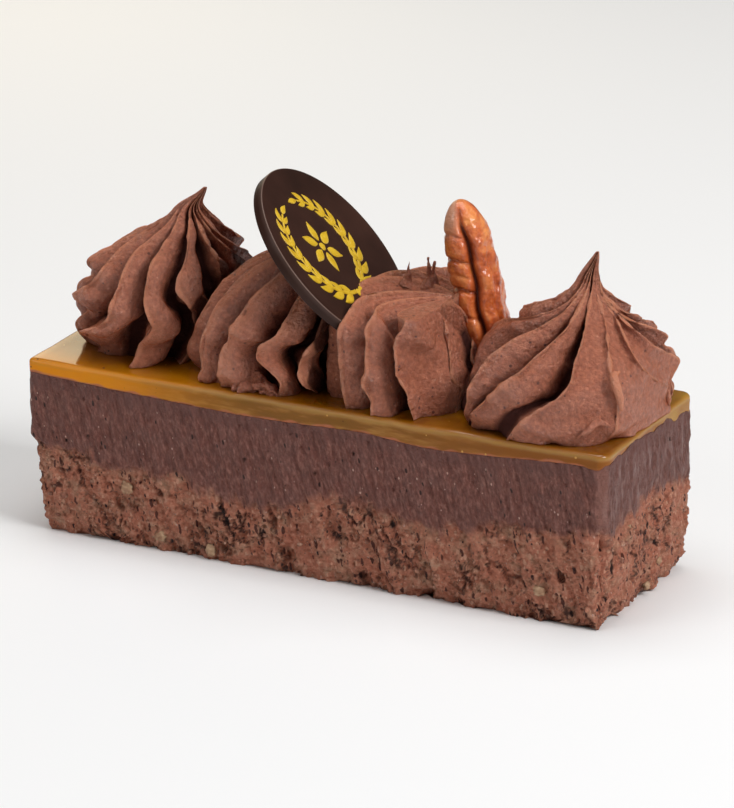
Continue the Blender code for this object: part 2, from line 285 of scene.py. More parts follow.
# %% [markdown]
# One helper lays out what every food finish shares: Object coordinates, the wandering colour,
# the relief on a Bump node, and the shader's own plain values.  What is special to one finish
# is laid over its base colour afterwards, one tint or scatter of dots after the other.

# %% A food finish
def drawn_out(tree, stretch=None, lean=0.0):
    """Object coordinates, in which a stretch draws textures out along axes turned about y."""
    place = tree.nodes["place"].outputs["Object"]
    if stretch is None:
        return place
    return add(tree, "Mapping", {"vector_type": "TEXTURE"}, Vector=place, Scale=stretch,
               Rotation=(0.0, lean, 0.0)).outputs["Vector"]


def wander(tree, dark, middle, light, scale, **drawn):
    """A wandering colour, its noise scaled per metre and drawn out along an axis."""
    return add(tree, "Group", {"node_tree": WANDER}, Vector=drawn_out(tree, **drawn), Dark=dark,
               Middle=middle, Light=light, Scale=scale).outputs["Color"]


def food(name, colours, patch, grain, relief, pinholes, **surface):
    """Principled material from its dark, middle and light colours: patch and grain are noise
    scales per metre, relief is the Bump distance in mm, surface the shader's other values."""
    made = bpy.data.materials.new(name)
    made.use_nodes = True
    tree = made.node_tree
    add(tree, "TexCoord", {"name": "place"})
    skin_deep = add(tree, "Group", {"node_tree": RELIEF}, Vector=drawn_out(tree), Scale=grain,
                    Pinholes=pinholes).outputs["Height"]
    bump = add(tree, "Bump", Strength=1.0, Distance=relief * MM, Height=skin_deep)
    give(tree, tree.nodes["Principled BSDF"], Base_Color=wander(tree, *colours, patch),
         Normal=bump.outputs["Normal"], **surface)
    print("finish:", name)
    return made


def tint(tree, share, colour):
    """Mix a colour into the base colour.  Share and colour are fixed or another node's."""
    base = tree.nodes["Principled BSDF"].inputs["Base Color"]
    feed(tree, base, mixed(tree, share, base.links[0].from_socket, colour))


def mark(tree, name, low=0.0, high=1.0):
    """A share that goes from 0 to 1 as the attribute goes from low to high."""
    read = add(tree, "Attribute", {"attribute_name": name})
    return stepped(tree, read.outputs["Fac"], low, high)


def dots(tree, colour, scale, share, size, **drawn):
    """Scatter dots of a colour over the base colour: cells per metre, how many of them have a
    dot, and the dot's size in cells, drawn out along an axis."""
    scatter = add(tree, "Group", {"node_tree": DOTS}, Vector=drawn_out(tree, **drawn),
                  Scale=scale, Share=share, Size=size)
    tint(tree, scatter.outputs["Mask"], colour)


# %% [markdown]
# ## The slice
# The two seams between the layers run as uneven lines round the slice.  They are the same
# curves as in the CAD model, so that the new skins lie where the solids are.

# %% The slice's sizes and seams
LENGTH, WIDTH, HEIGHT = 111.0, 36.0, 32.0
LEFT_CORNER, RIGHT_CORNER = 0.8, 2.0
SPONGE_TOP = ((-55, 16.8), (-41, 15.0), (-24, 14.5), (-14, 11.4), (-4, 13.4),
              (7, 16.1), (22, 13.9), (36, 16.8), (55, 17.6))
JELLY_UNDERSIDE = ((-55, 29.6), (-37, 28.9), (-13, 28.3), (10, 28.9), (23, 28.2),
                   (36, 28.9), (55, 30.2))


def at_zero(x, y):
    """Points over x and y at height 0, for noise that is the same at every height."""
    return np.stack([x, y, 0 * x], -1)


def sponge_seam(x, y):
    """Height of the seam between sponge and cream: the front line fades to the rear one, and
    the seam climbs round the right-hand end."""
    share = 0.5 - y / WIDTH
    rear = 16.5 + 0.9 * np.sin(x / 8)
    rise = 2.0 * bell(x, LENGTH / 2, 9) * np.sin(np.pi * share)
    return through(SPONGE_TOP, x) * share + rear * (1 - share) + rise


def jelly_seam(x, y):
    """Height of the seam between cream and jelly, which runs down over the right-hand end."""
    share = 0.5 - y / WIDTH
    uneven = 0.7 * rough(at_zero(x, y), 3.5, 27)
    smear = bell(x, LENGTH / 2, 4) * (1.5 * np.sin(np.pi * np.clip(share, 0, 1)) - 0.5 + uneven)
    return (through(JELLY_UNDERSIDE, x) * share + (29.4 + 0.5 * np.sin(x / 11)) * (1 - share)
            + smear)


print("front seam heights at x = 0:", sponge_seam(0.0, -18.0), jelly_seam(0.0, -18.0))


# %% [markdown]
# A layer is a stack of rings round the slice.  Each ring follows the slice's plan, a
# rectangle with crisp left and rounder right corners.  The rings run from a point under the
# layer out to its edge, up its side and back in to a point on top.  The side takes the relief.

# %% A layer's skin
INWARD = (0.97, 0.8, 0.4, 0.02)         # rings that close a layer below and above
CORNER_POINTS = 13
# How far the ends and the long sides draw in at the slice's foot, from TAPER_TOP downwards.
TAPER_TOP, TAPER_LEFT, TAPER_RIGHT, TAPER_SIDE = 16.5, 2.2, 1.1, 0.8


def plan(count):
    """Points and outward directions round the slice's plan, anticlockwise from the middle of
    the right end: straight sides joined by quarter circles, evenly spaced."""
    corners, outs = [], []
    for cx, cy, turn, radius in ((1, 1, 0, RIGHT_CORNER), (-1, 1, 90, LEFT_CORNER),
                                 (-1, -1, 180, LEFT_CORNER), (1, -1, 270, RIGHT_CORNER)):
        angle = np.radians(turn + np.linspace(0, 90, CORNER_POINTS))
        outs.append(np.stack([np.cos(angle), np.sin(angle)], -1))
        middle = np.array([cx * (LENGTH / 2 - radius), cy * (WIDTH / 2 - radius)])
        corners.append(middle + radius * outs[-1])
    loop, loop_out = (np.concatenate([*lines, lines[0][:1]]) for lines in (corners, outs))
    run = np.concatenate([[0], np.cumsum(np.linalg.norm(np.diff(loop, axis=0), axis=1))])
    at = np.linspace(0, run[-1], count, endpoint=False)
    place, out = (np.stack([np.interp(at, run, line[:, k]) for k in range(2)], -1)
                  for line in (loop, loop_out))
    return place, out / np.linalg.norm(out, axis=1, keepdims=True)


def layer(lower, upper, columns, rows, round_edges, relief):
    """Rings of a layer between two height functions.  Its side goes up in rows, its lower and
    upper edge are quarter circles of round_edges, and relief(points) moves side points out."""
    place, out = plan(columns)
    share = np.linspace(0, 1, rows)[:, None]
    x, y = (np.broadcast_to(place[:, k], (rows, columns)) for k in range(2))
    low, high = lower(x, y), upper(x, y)
    z = low + (high - low) * share
    low_lean = np.maximum(0, 1 - z / TAPER_TOP)
    reach = x / (LENGTH / 2)
    x = x - np.where(reach < 0, TAPER_LEFT, TAPER_RIGHT) * low_lean * reach**3
    y = y - TAPER_SIDE * low_lean * (y / (WIDTH / 2)) ** 3
    side = np.stack([x, y, z], -1)
    push = relief(side)
    for radius, away in zip(round_edges, (z - low, high - z)):
        push -= radius - np.sqrt(np.maximum(0, radius**2 - np.maximum(0, radius - away) ** 2))
    side = side + np.pad(out, ((0, 0), (0, 1))) * push[..., None]
    rings = [side]
    for k in INWARD:
        over, under = side[-1] * [k, k, 1], side[0] * [k, k, 1]
        over[:, 2] = upper(over[:, 0], over[:, 1])
        under[:, 2] = lower(under[:, 0], under[:, 1])
        rings = [under[None], *rings, over[None]]
    return np.concatenate(rings)


# %% [markdown]
# Below, the slice is nut sponge: crumbs of half a millimetre to two, dark pores between them
# and a ragged lower edge.  Above, it is cream cut with a knife: smooth, with fine upright
# drag marks and a few pores.  The knife smeared one into the other, so there is no sharp line
# between them.  Both skins therefore take their relief and their colour from one function of
# the place, in which the share of cream rises over three millimetres at the seam.

# %% Where the cream begins, and the sponge's pits
KNIFE_LEAN = 0.28                       # sideways step of the knife's path for one step down
# The larger hollows in the sponge: middle, half width and half height.
HOLLOWS = (((-38.3, -18.0, 7.3), 1.0, 1.4), ((-29.8, -18.0, 11.2), 0.6, 1.0),
           ((-22.4, -18.0, 5.8), 0.7, 2.6), ((-17.4, -18.0, 2.6), 1.7, 1.5),
           ((-7.7, -18.0, 9.6), 0.7, 2.8), ((-5.1, -18.0, 3.8), 1.8, 2.0),
           ((9.8, -18.0, 2.1), 1.7, 1.5), ((21.5, -18.0, 0.8), 2.4, 1.7),
           ((55.3, -17.6, 15.5), 1.5, 1.7), ((47.0, -18.0, 9.0), 0.8, 1.6))


def slant(spot, across, length):
    """Coordinates in which noise is drawn out along the knife's slanting way down."""
    x, y, z = np.moveaxis(spot, -1, 0)
    return np.stack([x + KNIFE_LEAN * z, y, z * across / length], -1)


def cream_share(spot):
    """0 in the sponge, 1 in the cream, blended unevenly over the seam."""
    above = spot[..., 2] - sponge_seam(spot[..., 0], spot[..., 1])
    uneven = 1.2 * rough(spot, 3.0, 15, 3) + 1.1 * lumps(slant(spot, 1.1, 6.0), 1.1, 9)
    return ease(above + uneven, -1.6, 1.4)


def hollows(spot):
    """The larger hollows where the knife pulled crumb out: slanting ellipsoids with uneven
    edges, 1 in their middle."""
    deep = np.zeros(spot.shape[:-1])
    uneven = 0.35 * rough(spot, 1.2, 26, 2)
    for middle, width, height in HOLLOWS:
        x, y, z = np.moveaxis(spot - middle, -1, 0)
        away = np.sqrt(((x + KNIFE_LEAN * z) / width) ** 2 + (y / 2.5) ** 2 + (z / height) ** 2)
        deep = np.maximum(deep, ease(away + uneven, 1.0, 0.45))
    return deep


# The pits' share gives both their depth in the relief and the painted shade in them.
def crumb_pits(spot):
    """Darkness of the sponge's pits, 0 to 1: slanting cracks between clumps, and pores of
    two sizes, their outlines shaken by finer lumps, rarer where slow lumps are high."""
    shaken = spot + 0.4 * np.stack([lumps(spot, 0.7, seed) for seed in (16, 17, 18)], -1)
    rare = 0.14 * lumps(spot, 6.0, 19) + 0.12 * lumps(spot, 2.2, 20)
    large = ease(cells(slant(shaken, 1.0, 2.6), 1.9, 12)[0] + rare, 0.22, 0.06)
    small = ease(cells(slant(shaken, 1.0, 1.9), 0.85, 13)[0] + rare, 0.30, 0.10)
    near, second = cells(slant(shaken, 1.0, 3.0), 3.0, 10)
    crack = ease(second - near, 0.10, 0.02) * ease(-rare, -0.03, 0.06)
    pores = np.maximum(np.maximum(large, 0.7 * small), 0.8 * crack)
    return np.maximum(pores, hollows(spot))


# %% [markdown]
# The relief is these lumps, pits and drags added up, in millimetres along the face's outward
# direction.  The marks are the same functions again, handed to the finish, so that painted
# shade darkens a pit exactly where it is deep.

# %% Relief and marks of the cut faces
def crumb_height(spot):
    """Crumbs of three sizes: the absolute value of lumps makes round bumps with sharp
    valleys.  Broader slanting ribs carry them."""
    grains = sum(size * np.abs(lumps(spot, size, seed))
                 for size, seed in ((1.3, 11), (0.7, 7), (0.42, 8)))
    ribs = 0.75 * lumps(slant(spot, 1.0, 3.5), 2.3, 6)
    return 0.50 * grains + ribs - 0.50


def cream_pores(spot):
    """The few pores of the cut cream, 1 in their middle: the cores of tall cells."""
    return ease(cells(spot * [1, 1, 0.7], 2.9, 23)[0], 0.13, 0.05)


def cut_relief(spot):
    """Outward shift in mm: crumbs less their pits, and drag marks less theirs.  Low down, at
    the left end and at the front right corner the sponge draws in."""
    x, y, z = np.moveaxis(spot, -1, 0)
    share = cream_share(spot)
    low = ease(z + 1.5 * lumps(spot, 4.0, 5), 3.0, 0.0)
    crumbs = crumb_height(spot) - 0.7 * crumb_pits(spot) - 0.8 * low - 0.9 * hollows(spot)
    drags = 0.28 * rough(slant(spot, 1.0, 5.0), 0.8, 21, 3) + 0.15 * lumps(spot, 6.0, 22)
    crumbs = crumbs - 1.1 * ease(-x, 54.0, 55.4)
    crumbs = crumbs - 0.9 * ease(np.hypot(x - LENGTH / 2, y + WIDTH / 2), 2.4, 0.8)
    return crumbs * (1 - share) + (drags - 0.4 * cream_pores(spot)) * share


def cut_marks(spot):
    """What the finish follows: share of cream, pores, the smooth strip that the knife left
    just under the jelly, the bloomed right end, and the rubbed front right corner."""
    x, y, z = np.moveaxis(spot, -1, 0)
    share = cream_share(spot)
    under = jelly_seam(x, y) - z + 0.8 * lumps(spot, 2.5, 24)
    smooth = 0.7 * ease(under, 3.2, 1.2) * share
    away = np.hypot(x - LENGTH / 2, y + WIDTH / 2) + 0.5 * lumps(spot, 1.5, 25)
    # Painted shade in the sponge's pits and the cream's pores.
    pits = crumb_pits(spot) * (1 - share) + cream_pores(spot) * share
    end = ease(x, LENGTH / 2 - 1.5, LENGTH / 2 - 0.6) * share
    return {"cream": share, "pore_shade": pits * (1 - smooth), "smooth": smooth, "end": end,
            "corner": 0.6 * ease(away, 1.8, 0.9)}


# %% [markdown]
# One finish serves both layers.  It mixes a red-brown sponge and a purple-brown cream by the
# stored share of cream.  The cream's colour noise is drawn out upwards, as the knife drew the
# cream, and scattered cells carry painted glints and painted shade in tiny pits.  On the
# sponge they are light crumbs with painted glints and painted shade in small holes, and all
# pits get painted shade.

# %% The cut faces' finish
SPONGE_DARK = (0.340, 0.109, 0.064)
SPONGE_MIDDLE = (0.720, 0.262, 0.156)
SPONGE_LIGHT = (0.960, 0.570, 0.400)
SPONGE_RED = (0.650, 0.187, 0.104)
SPONGE_OLIVE = (0.600, 0.360, 0.225)
GRAIN_LIGHT_AND_GLINT = (0.860, 0.440, 0.290)
PAINTED_HOLE_SHADE = (0.150, 0.042, 0.025)
CREAM_DARK = (0.150, 0.046, 0.033)
CREAM_MIDDLE = (0.285, 0.101, 0.075)
CREAM_LIGHT = (0.600, 0.270, 0.205)
CREAM_SMOOTH = (0.240, 0.092, 0.073)
CREAM_GREY = (0.260, 0.115, 0.094)
CREAM_RED = (0.310, 0.090, 0.062)
CREAM_SHADE = (0.150, 0.058, 0.045)
CREAM_BLOOM = (0.520, 0.360, 0.330)
PORE_SHADE = (0.035, 0.010, 0.007)
PAINTED_GLINT = (0.800, 0.500, 0.400)
PAINTED_PIT_SHADE = (0.050, 0.015, 0.011)
CORNER_COLOUR = (0.420, 0.175, 0.130)
LEAN = -0.2                             # radians by which textures follow the knife
cut_finish = food("cut faces", (SPONGE_DARK, SPONGE_MIDDLE, SPONGE_LIGHT), patch=1300.0,
                  grain=1700.0, relief=1.6, pinholes=0.2, Roughness=0.5,
                  Specular_IOR_Level=0.45)
cut = cut_finish.node_tree
tint(cut, 0.55, wander(cut, SPONGE_RED, SPONGE_MIDDLE, SPONGE_OLIVE, 330.0))
# Light dots on the sponge are light crumbs with painted glints; dark dots are painted shade in
# small holes.
dots(cut, GRAIN_LIGHT_AND_GLINT, 1700.0, 0.26, 0.60, stretch=(1.0, 1.0, 1.8), lean=LEAN)
dots(cut, PAINTED_HOLE_SHADE, 1500.0, 0.22, 0.62, stretch=(1.0, 1.0, 3.0), lean=LEAN)
tint(cut, mark(cut, "cream"), wander(cut, CREAM_DARK, CREAM_MIDDLE, CREAM_LIGHT, 2100.0,
                                     stretch=(1.0, 1.0, 2.6), lean=LEAN))
tint(cut, mark(cut, "cream", 0.0, 2.5), wander(cut, CREAM_GREY, CREAM_MIDDLE, CREAM_RED, 300.0))
# Light dots on the cream: painted glints.
dots(cut, PAINTED_GLINT, 2000.0, 0.07, 0.34, stretch=(1.0, 1.0, 1.6), lean=LEAN)
# Dark dots on the cream: painted shade in tiny pits.
dots(cut, PAINTED_PIT_SHADE, 1500.0, 0.16, 0.38, stretch=(1.0, 1.0, 2.2), lean=LEAN)
tint(cut, mark(cut, "end", 0.0, 1.6), wander(cut, CREAM_SHADE, CREAM_GREY, CREAM_BLOOM, 700.0,
                                             stretch=(1.0, 1.0, 4.0)))
tint(cut, mark(cut, "smooth"), CREAM_SMOOTH)
tint(cut, mark(cut, "corner"), CORNER_COLOUR)
# Painted shade in the pits, cracks and hollows.
tint(cut, mark(cut, "pore_shade", 0.1, 0.9), PORE_SHADE)

# %% [markdown]
# The two skins are fine enough for a crumb of half a millimetre to be real geometry, so the
# slice's outline is crumbly too.  They meet at the seam, where both follow the same relief.

# %% The sponge and the cream layer
COLUMNS = 1340                          # points round the slice
SPONGE_ROWS, CREAM_ROWS = 66, 50
SHARP = (0.02, 0.02)                    # rounding of the lower and the upper edge


def ragged_floor(x, y):
    """The sponge's lower edge lifts unevenly where it is outermost."""
    edge = np.maximum(np.abs(x) / (LENGTH / 2), np.abs(y) / (WIDTH / 2))
    lift = np.maximum(0, 0.2 + rough(at_zero(x, y), 5.5, 14, 4))
    return 1.7 * ease(edge, 0.88, 0.98) * lift


layers = {}
for name, node, slot, low, high, rows in (
        ("sponge_crumb", "sponge_base", "sponge", ragged_floor, sponge_seam, SPONGE_ROWS),
        ("cream_cut", "cream_layer", "cream", sponge_seam, jelly_seam, CREAM_ROWS)):
    rings = layers[slot] = layer(low, high, COLUMNS, rows, SHARP, cut_relief)
    piece = skin(name, rings, cut_finish, cut_marks(rings))
    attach(piece, "root")
    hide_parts(node)

# %% [markdown]
# The knife tore single crumbs half out of the sponge, and cut through a few pieces of nut.
# Both are small closed pebbles, a few dozen faces each, half sunk in the face: the crumbs on
# random points of the sponge's own skin, the nuts where the real ones show.

# %% Crumbs and nut pieces
CRUMBS = 700
# Each cut nut: its middle and its half sizes.
NUTS = (((-36.4, -17.5, 10.9), (1.2, 0.6, 1.3)), ((-30.4, -17.1, 2.9), (1.3, 0.7, 1.1)),
        ((-20.1, -17.2, 1.9), (0.9, 0.6, 1.2)), ((43.2, -17.6, 5.8), (1.1, 0.5, 1.0)),
        ((55.1, -7.1, 16.0), (0.5, 0.8, 0.6)), ((55.1, 13.4, 17.0), (0.5, 0.8, 0.9)),
        ((54.6, 5.8, 5.0), (0.6, 1.0, 0.8)), ((54.4, 1.6, 1.8), (0.6, 0.9, 0.7)))


def pebbles(spots, sizes, turns, seed, rows=6, columns=8):
    """One lumpy ball for each spot: a unit ball with its points shaken, scaled by the size
    along three axes and turned about z."""
    lift = np.linspace(-1, 1, rows + 2)[1:-1, None]
    way = np.linspace(0, 2 * np.pi, columns, endpoint=False)
    wide = np.sqrt(1 - lift**2)
    ball = np.stack([wide * np.cos(way), wide * np.sin(way), lift + 0 * way], -1)
    shake = np.random.default_rng(seed).uniform(0.72, 1.2, (len(spots), rows, columns, 1))
    made = []
    for spot, size, turn, factor in zip(spots, sizes, turns, shake):
        x, y, z = np.moveaxis(ball * factor * size, -1, 0)
        cosine, sine = math.cos(turn), math.sin(turn)
        made.append(np.stack([x * cosine - y * sine, x * sine + y * cosine, z], -1) + spot)
    return made


draw = np.random.default_rng(95)
bare_rows = layers["sponge"][6:-12]     # from just over the foot to just under the seam
spots = bare_rows[draw.integers(0, len(bare_rows), CRUMBS), draw.integers(0, COLUMNS, CRUMBS)]
sizes = 0.16 + 0.42 * draw.uniform(0, 1, (CRUMBS, 1)) ** 3 * draw.uniform(0.6, 1.2, (CRUMBS, 3))
sizes = sizes * draw.uniform(0.7, 1.3, (CRUMBS, 3))
crumb_finish = food("loose crumb", (SPONGE_DARK, (0.470, 0.190, 0.120), SPONGE_LIGHT),
                    patch=900.0, grain=2500.0, relief=0.8, pinholes=0.2, Roughness=0.5)
crumbs = skin("sponge_crumbs", pebbles(spots, sizes, draw.uniform(0, 6.28, CRUMBS), seed=96),
              crumb_finish)
nut_finish = food("cut nut", ((0.340, 0.160, 0.085), (0.520, 0.310, 0.180), (0.680, 0.480, 0.300)),
                  patch=700.0, grain=1500.0, relief=0.3, pinholes=0.0, Roughness=0.55)
nut_bits = skin("sponge_nuts", pebbles(*(np.array(column) for column in zip(*NUTS)),
                                       np.linspace(-0.2, 0.2, len(NUTS)), seed=97, rows=12,
                                       columns=18), nut_finish)
for piece in (crumbs, nut_bits):
    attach(piece, "root")

# %% [markdown]
# The jelly is a clear amber glaze over fruit.  A clear material would need absorption and
# take long to render, so subsurface scattering in amber stands for its depth, under a glossy
# coat.  Seen from above it is dark, because the cream shows through.  On its cut side it is a
# paler ochre, bright amber at the left end, with a thin red line where it soaked into the
# cream.

# %% The jelly
JELLY_COLUMNS, JELLY_ROWS = 1000, 30
JELLY_EDGES = (0.02, 0.8)               # sharp below, rounded above
JELLY_TOP = ((0.160, 0.048, 0.001), (0.225, 0.073, 0.0015), (0.280, 0.098, 0.003))
JELLY_SIDE = ((0.210, 0.090, 0.012), (0.250, 0.100, 0.015), (0.430, 0.200, 0.045))
JELLY_BRIGHT = (0.760, 0.265, 0.004)
JELLY_BROWN = (0.270, 0.082, 0.010)
JELLY_SEAM = (0.460, 0.150, 0.070)
JELLY_RIM_HIGHLIGHT = (0.420, 0.235, 0.070)
JELLY_GOLD = (0.430, 0.235, 0.024)
jelly_finish = food("jelly", JELLY_TOP, patch=160.0, grain=1500.0, relief=0.015, pinholes=0.0,
                    Roughness=0.16, Specular_IOR_Level=0.15, Coat_Roughness=0.06,
                    Subsurface_Weight=0.2, Subsurface_Radius=(1.0, 0.35, 0.05),
                    Subsurface_Scale=1.2 * MM)
glaze = jelly_finish.node_tree
band = wander(glaze, *JELLY_SIDE, 900.0, stretch=(6.5, 6.5, 1.0))
for name, colour in (("side", band), ("brown", JELLY_BROWN), ("bright", JELLY_BRIGHT),
                     ("gold", JELLY_GOLD), ("rim", JELLY_RIM_HIGHLIGHT), ("low", JELLY_SEAM)):
    tint(glaze, mark(glaze, name), colour)
# Light dots: painted glints on the glaze.
dots(glaze, (0.620, 0.330, 0.080), 900.0, 0.08, 0.24)
dots(glaze, (0.120, 0.040, 0.010), 800.0, 0.12, 0.22)
give(glaze, glaze.nodes["Principled BSDF"], Coat_Weight=mark(glaze, "side", 1.0, 0.0))


def jelly_relief(side):
    """Slow and small waves of the cut side, in mm."""
    return 0.12 * lumps(side, 5.0, 31) + 0.05 * lumps(side, 1.4, 32)


def jelly_top(x, y):
    """Nearly level, with slow waves."""
    return HEIGHT + 0.12 * lumps(at_zero(x, y), 9.0, 33)


def jelly_marks(rings):
    """Which points are on the cut side, at the bright left end, in the golden rear corner, on
    the browner right part, along the pale upper rim, and close to the seam."""
    x, y, z = np.moveaxis(rings, -1, 0)
    edge = np.maximum(np.abs(x) - LENGTH / 2, np.abs(y) - WIDTH / 2)
    over_seam = z - jelly_seam(x, y) + 0.3 * lumps(rings, 1.8, 34)
    side = ease(edge, -1.2, -0.35) * ease(z, HEIGHT + 0.25, HEIGHT - 0.6)
    bright = side * ease(-x + 3 * lumps(rings, 5.0, 35), 8.0, 48.0)
    # Painted highlight along the rounded upper edge of the cut side.
    rim = side * ease(np.abs(z - HEIGHT + 0.55 + 0.2 * lumps(rings, 4.0, 36)), 0.7, 0.1)
    # Painted light: the top is lit up towards its front left edge.
    painted_glow = 0.45 * (1 - side) * ease(-x, 5.0, 40.0) * ease(-y, 8.0, 17.0)
    corner = ease(x, 44.0, 55.0) * ease(y, -2.0, 10.0) * (0.8 + 0.4 * lumps(rings, 2.5, 37))
    return {"side": side, "bright": bright + painted_glow, "gold": 0.6 * corner,
            "brown": 0.8 * side * ease(x, 5.0, 45.0), "rim": 0.7 * rim * (1 - 0.7 * bright),
            "low": side * ease(over_seam, 0.5, 0.1) * ease(x, 56.0, 50.0)}


jelly_rings = layer(jelly_seam, jelly_top, JELLY_COLUMNS, JELLY_ROWS, JELLY_EDGES, jelly_relief)
jelly = skin("jelly_glaze", jelly_rings, jelly_finish, jelly_marks(jelly_rings))
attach(jelly, "root")
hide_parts("jelly_top")

# %% [markdown]
# ## The rosettes
# Each rosette was piped through a star nozzle in one turn and pulled off into a tip.  The
# star's points leave ridges that twist as the nozzle turns.  Every ridge has a crisp crest, a
# broad face that falls away slowly, and then a steep drop into a dark groove under the next
# crest.  The crests' own angles at eight heights are given where they can be seen; the ridges
# at the back are spread evenly between them.

# %% The rosettes' shapes
# Every rosette has its foot's middle, its radius, its tip beside and over the foot, a profile
# of (height, radius) as shares, and crests: one row of angles at HEIGHTS for each ridge that
# is seen, and how many are hidden.  Cut is the power that sharpens the ridges.  Flares are
# bells on a crest: crest, height, spread, reach in mm.  PLAIN is what most of them share.
HEIGHTS = (0.0, 0.15, 0.3, 0.5, 0.7, 0.86, 0.94, 1.0)
PLAIN = dict(lean=1.5,                  # how late the tip leans, as a power
             dip=0.0,                   # how far the tip sinks back into the top
             bend=0.0,                  # sideways kink below the tip, in mm
             hem=0.2,                   # widening of the foot, in mm
             crown=0.0,                 # deeper grooves on top
             settle=0.0,                # shallower grooves at the foot
             shy=0.0,                   # how far the right side leans back, for each mm up
             scoops={})                 # ridges with a hollow face, and its depth
ROSETTES = {
    "rosette_1": dict(
        foot=(-39.4, 0.6), radius=16.3, tip=(10.2, -1.0, 30.0), bend=-1.2, cut=1.0,
        profile=((0, .80), (.10, .92), (.24, 1.0), (.40, .99), (.55, .82), (.68, .54),
                 (.78, .30), (.87, .15), (.94, .07), (1, .02)),
        crests=((185, 188, 195, 205, 188, 184, 185, 190),
                (212, 215, 220, 230, 205, 200, 200, 200),
                (236, 240, 258, 255, 243, 236, 235, 235),
                (279, 284, 288, 276, 268, 258, 254, 254),
                (315, 337, 322, 299, 299, 292, 286, 284),
                (345, 350, 354, 350, 327, 310, 303, 300),
                (370, 375, 380, 380, 347, 325, 315, 310),
                (400, 405, 408, 399, 361, 335, 325, 320)),
        hidden=5,
        flares=((0, .53, .05, 1.6), (0, .42, .05, -2.0), (1, .36, .04, 1.2),
                (1, .22, .05, -2.5), (2, .19, .05, 2.2), (2, .05, .06, -1.5),
                (3, .12, .05, -1.6), (3, .00, .05, 2.0), (4, .22, .08, 1.2),
                (4, .07, .05, -1.2), (4, .00, .03, 1.0))),
    "rosette_2": dict(
        foot=(-12.9, 0.4), radius=18.6, tip=(6.5, 0.0, 23.3), crown=0.9, cut=1.1,
        profile=((0, .93), (.08, .98), (.20, 1.0), (.40, .98), (.60, .86), (.76, .68),
                 (.88, .45), (1, .05)),
        crests=((205, 210, 212, 213, 198, 190, 190, 200),
                (238, 236, 235, 230, 222, 215, 215, 225),
                (252, 252, 252, 253, 254, 255, 260, 265),
                (290, 287, 271, 282, 284, 290, 295, 300),
                (312, 301, 299, 312, 318, 322, 326, 330)),
        hidden=8,
        flares=((1, .02, .05, 1.0), (3, .22, .07, 2.0), (3, .38, .08, -1.0),
                (4, .16, .10, 1.5), (2, .10, .05, 0.6))),
    "rosette_3": dict(
        foot=(13.3, 0.2), radius=18.5, tip=(7.0, -2.0, 20.3), lean=5.0, dip=0.12, shy=0.35,
        crown=1.2, cut=0.9, scoops={3: 1.0},
        profile=((0, .96), (.10, 1.0), (.22, 1.02), (.40, 1.01), (.60, .97), (.78, .90),
                 (.90, .76), (.96, .54), (1, .04)),
        crests=((215, 214, 213, 210, 200, 172, 150, 130),
                (247, 246, 244, 241, 236, 220, 194, 165),
                (263, 261, 260, 258, 255, 247, 222, 190),
                (290, 286, 282, 277, 276, 272, 250, 225),
                (325, 338, 325, 332, 337, 330, 315, 300)),
        hidden=8,
        flares=((1, .66, .12, 1.0), (3, .25, .12, 0.5), (4, .14, .05, 1.0), (4, .28, .07, -0.6))),
    "rosette_4": dict(
        foot=(39.6, 0.2), radius=19.4, tip=(5.9, -0.2, 29.2), bend=-0.3, hem=1.6, settle=0.95,
        cut=0.95, scoops={3: 0.5, 4: 0.5, 5: 0.7},
        profile=((0, .88), (.10, .98), (.24, 1.0), (.38, .90), (.51, .70), (.62, .46),
                 (.69, .29), (.75, .17), (.86, .09), (1, .015)),
        crests=((160, 165, 170, 180, 245, 270, 282, 290),
                (225, 231, 232, 234, 263, 285, 294, 300),
                (232, 241, 251, 266, 284, 300, 306, 310),
                (262, 272, 287, 295, 304, 314, 318, 320),
                (319, 320, 320, 318, 327, 329, 330, 330),
                (380, 375, 358, 337, 343, 344, 345, 345),
                (395, 385, 386, 360, 350, 352, 354, 355),
                (410, 405, 400, 383, 352, 358, 362, 365),
                (430, 428, 425, 405, 357, 366, 371, 375)),
        hidden=4,
        flares=((2, .10, .06, 1.0), (3, .10, .05, 1.5), (6, .29, .05, 0.8), (6, .19, .05, -1.5),
                (7, .47, .04, 0.7), (7, .38, .04, -1.5), (8, .62, .03, 0.9), (8, .54, .03, -1.5))),
}
print("ridges:", [len(shape["crests"]) + shape["hidden"] for shape in ROSETTES.values()])

# %% [markdown]
# No rosette stands free.  Soft cream flattens against its neighbours and against the disc
# that leans between two of them, and no ridge hangs far over the slice's front edge.  Planes
# stand for all of these, and points beyond a plane are held back.

# %% What the rosettes press on
DISC_RADIUS = 18.0
DISC_THICKNESS = 2.1
DISC_FACE_CENTRE = np.array([-3.9, 0.0, 53.5])
DISC_NORMAL = np.array([0.73, 0.13, 0.67]) / np.linalg.norm([0.73, 0.13, 0.67])
# Planes at which neighbours press on each other: x at the jelly, and how x grows with height.
CONTACTS = ((-56.0, 0.0), (-29.4, 0.28), (-1.4, 0.05), (23.5, 0.0), (56.4, 0.0))
FRONT_LIMIT = 18.3
SQUASH = 14                     # how suddenly cream flattens at a plane


def press(value, low, high):
    """Hold a coordinate between two planes: v / (1 + |v / limit|^n)^(1/n)."""
    limit = np.where(value > 0, high, -low)
    return value / (1 + np.abs(value / limit) ** SQUASH) ** (1 / SQUASH)


def behind_disc(rings):
    """Press points back behind the disc's rear face."""
    proud = (rings - DISC_FACE_CENTRE) @ DISC_NORMAL + DISC_THICKNESS
    return rings - np.maximum(0, proud)[..., None] * DISC_NORMAL


# %% [markdown]
# A ridge has the same section all the way up, drawn here once from crest to crest.  Its width
# and place follow the crests' angles, which waver a little, as a hand-held nozzle does.

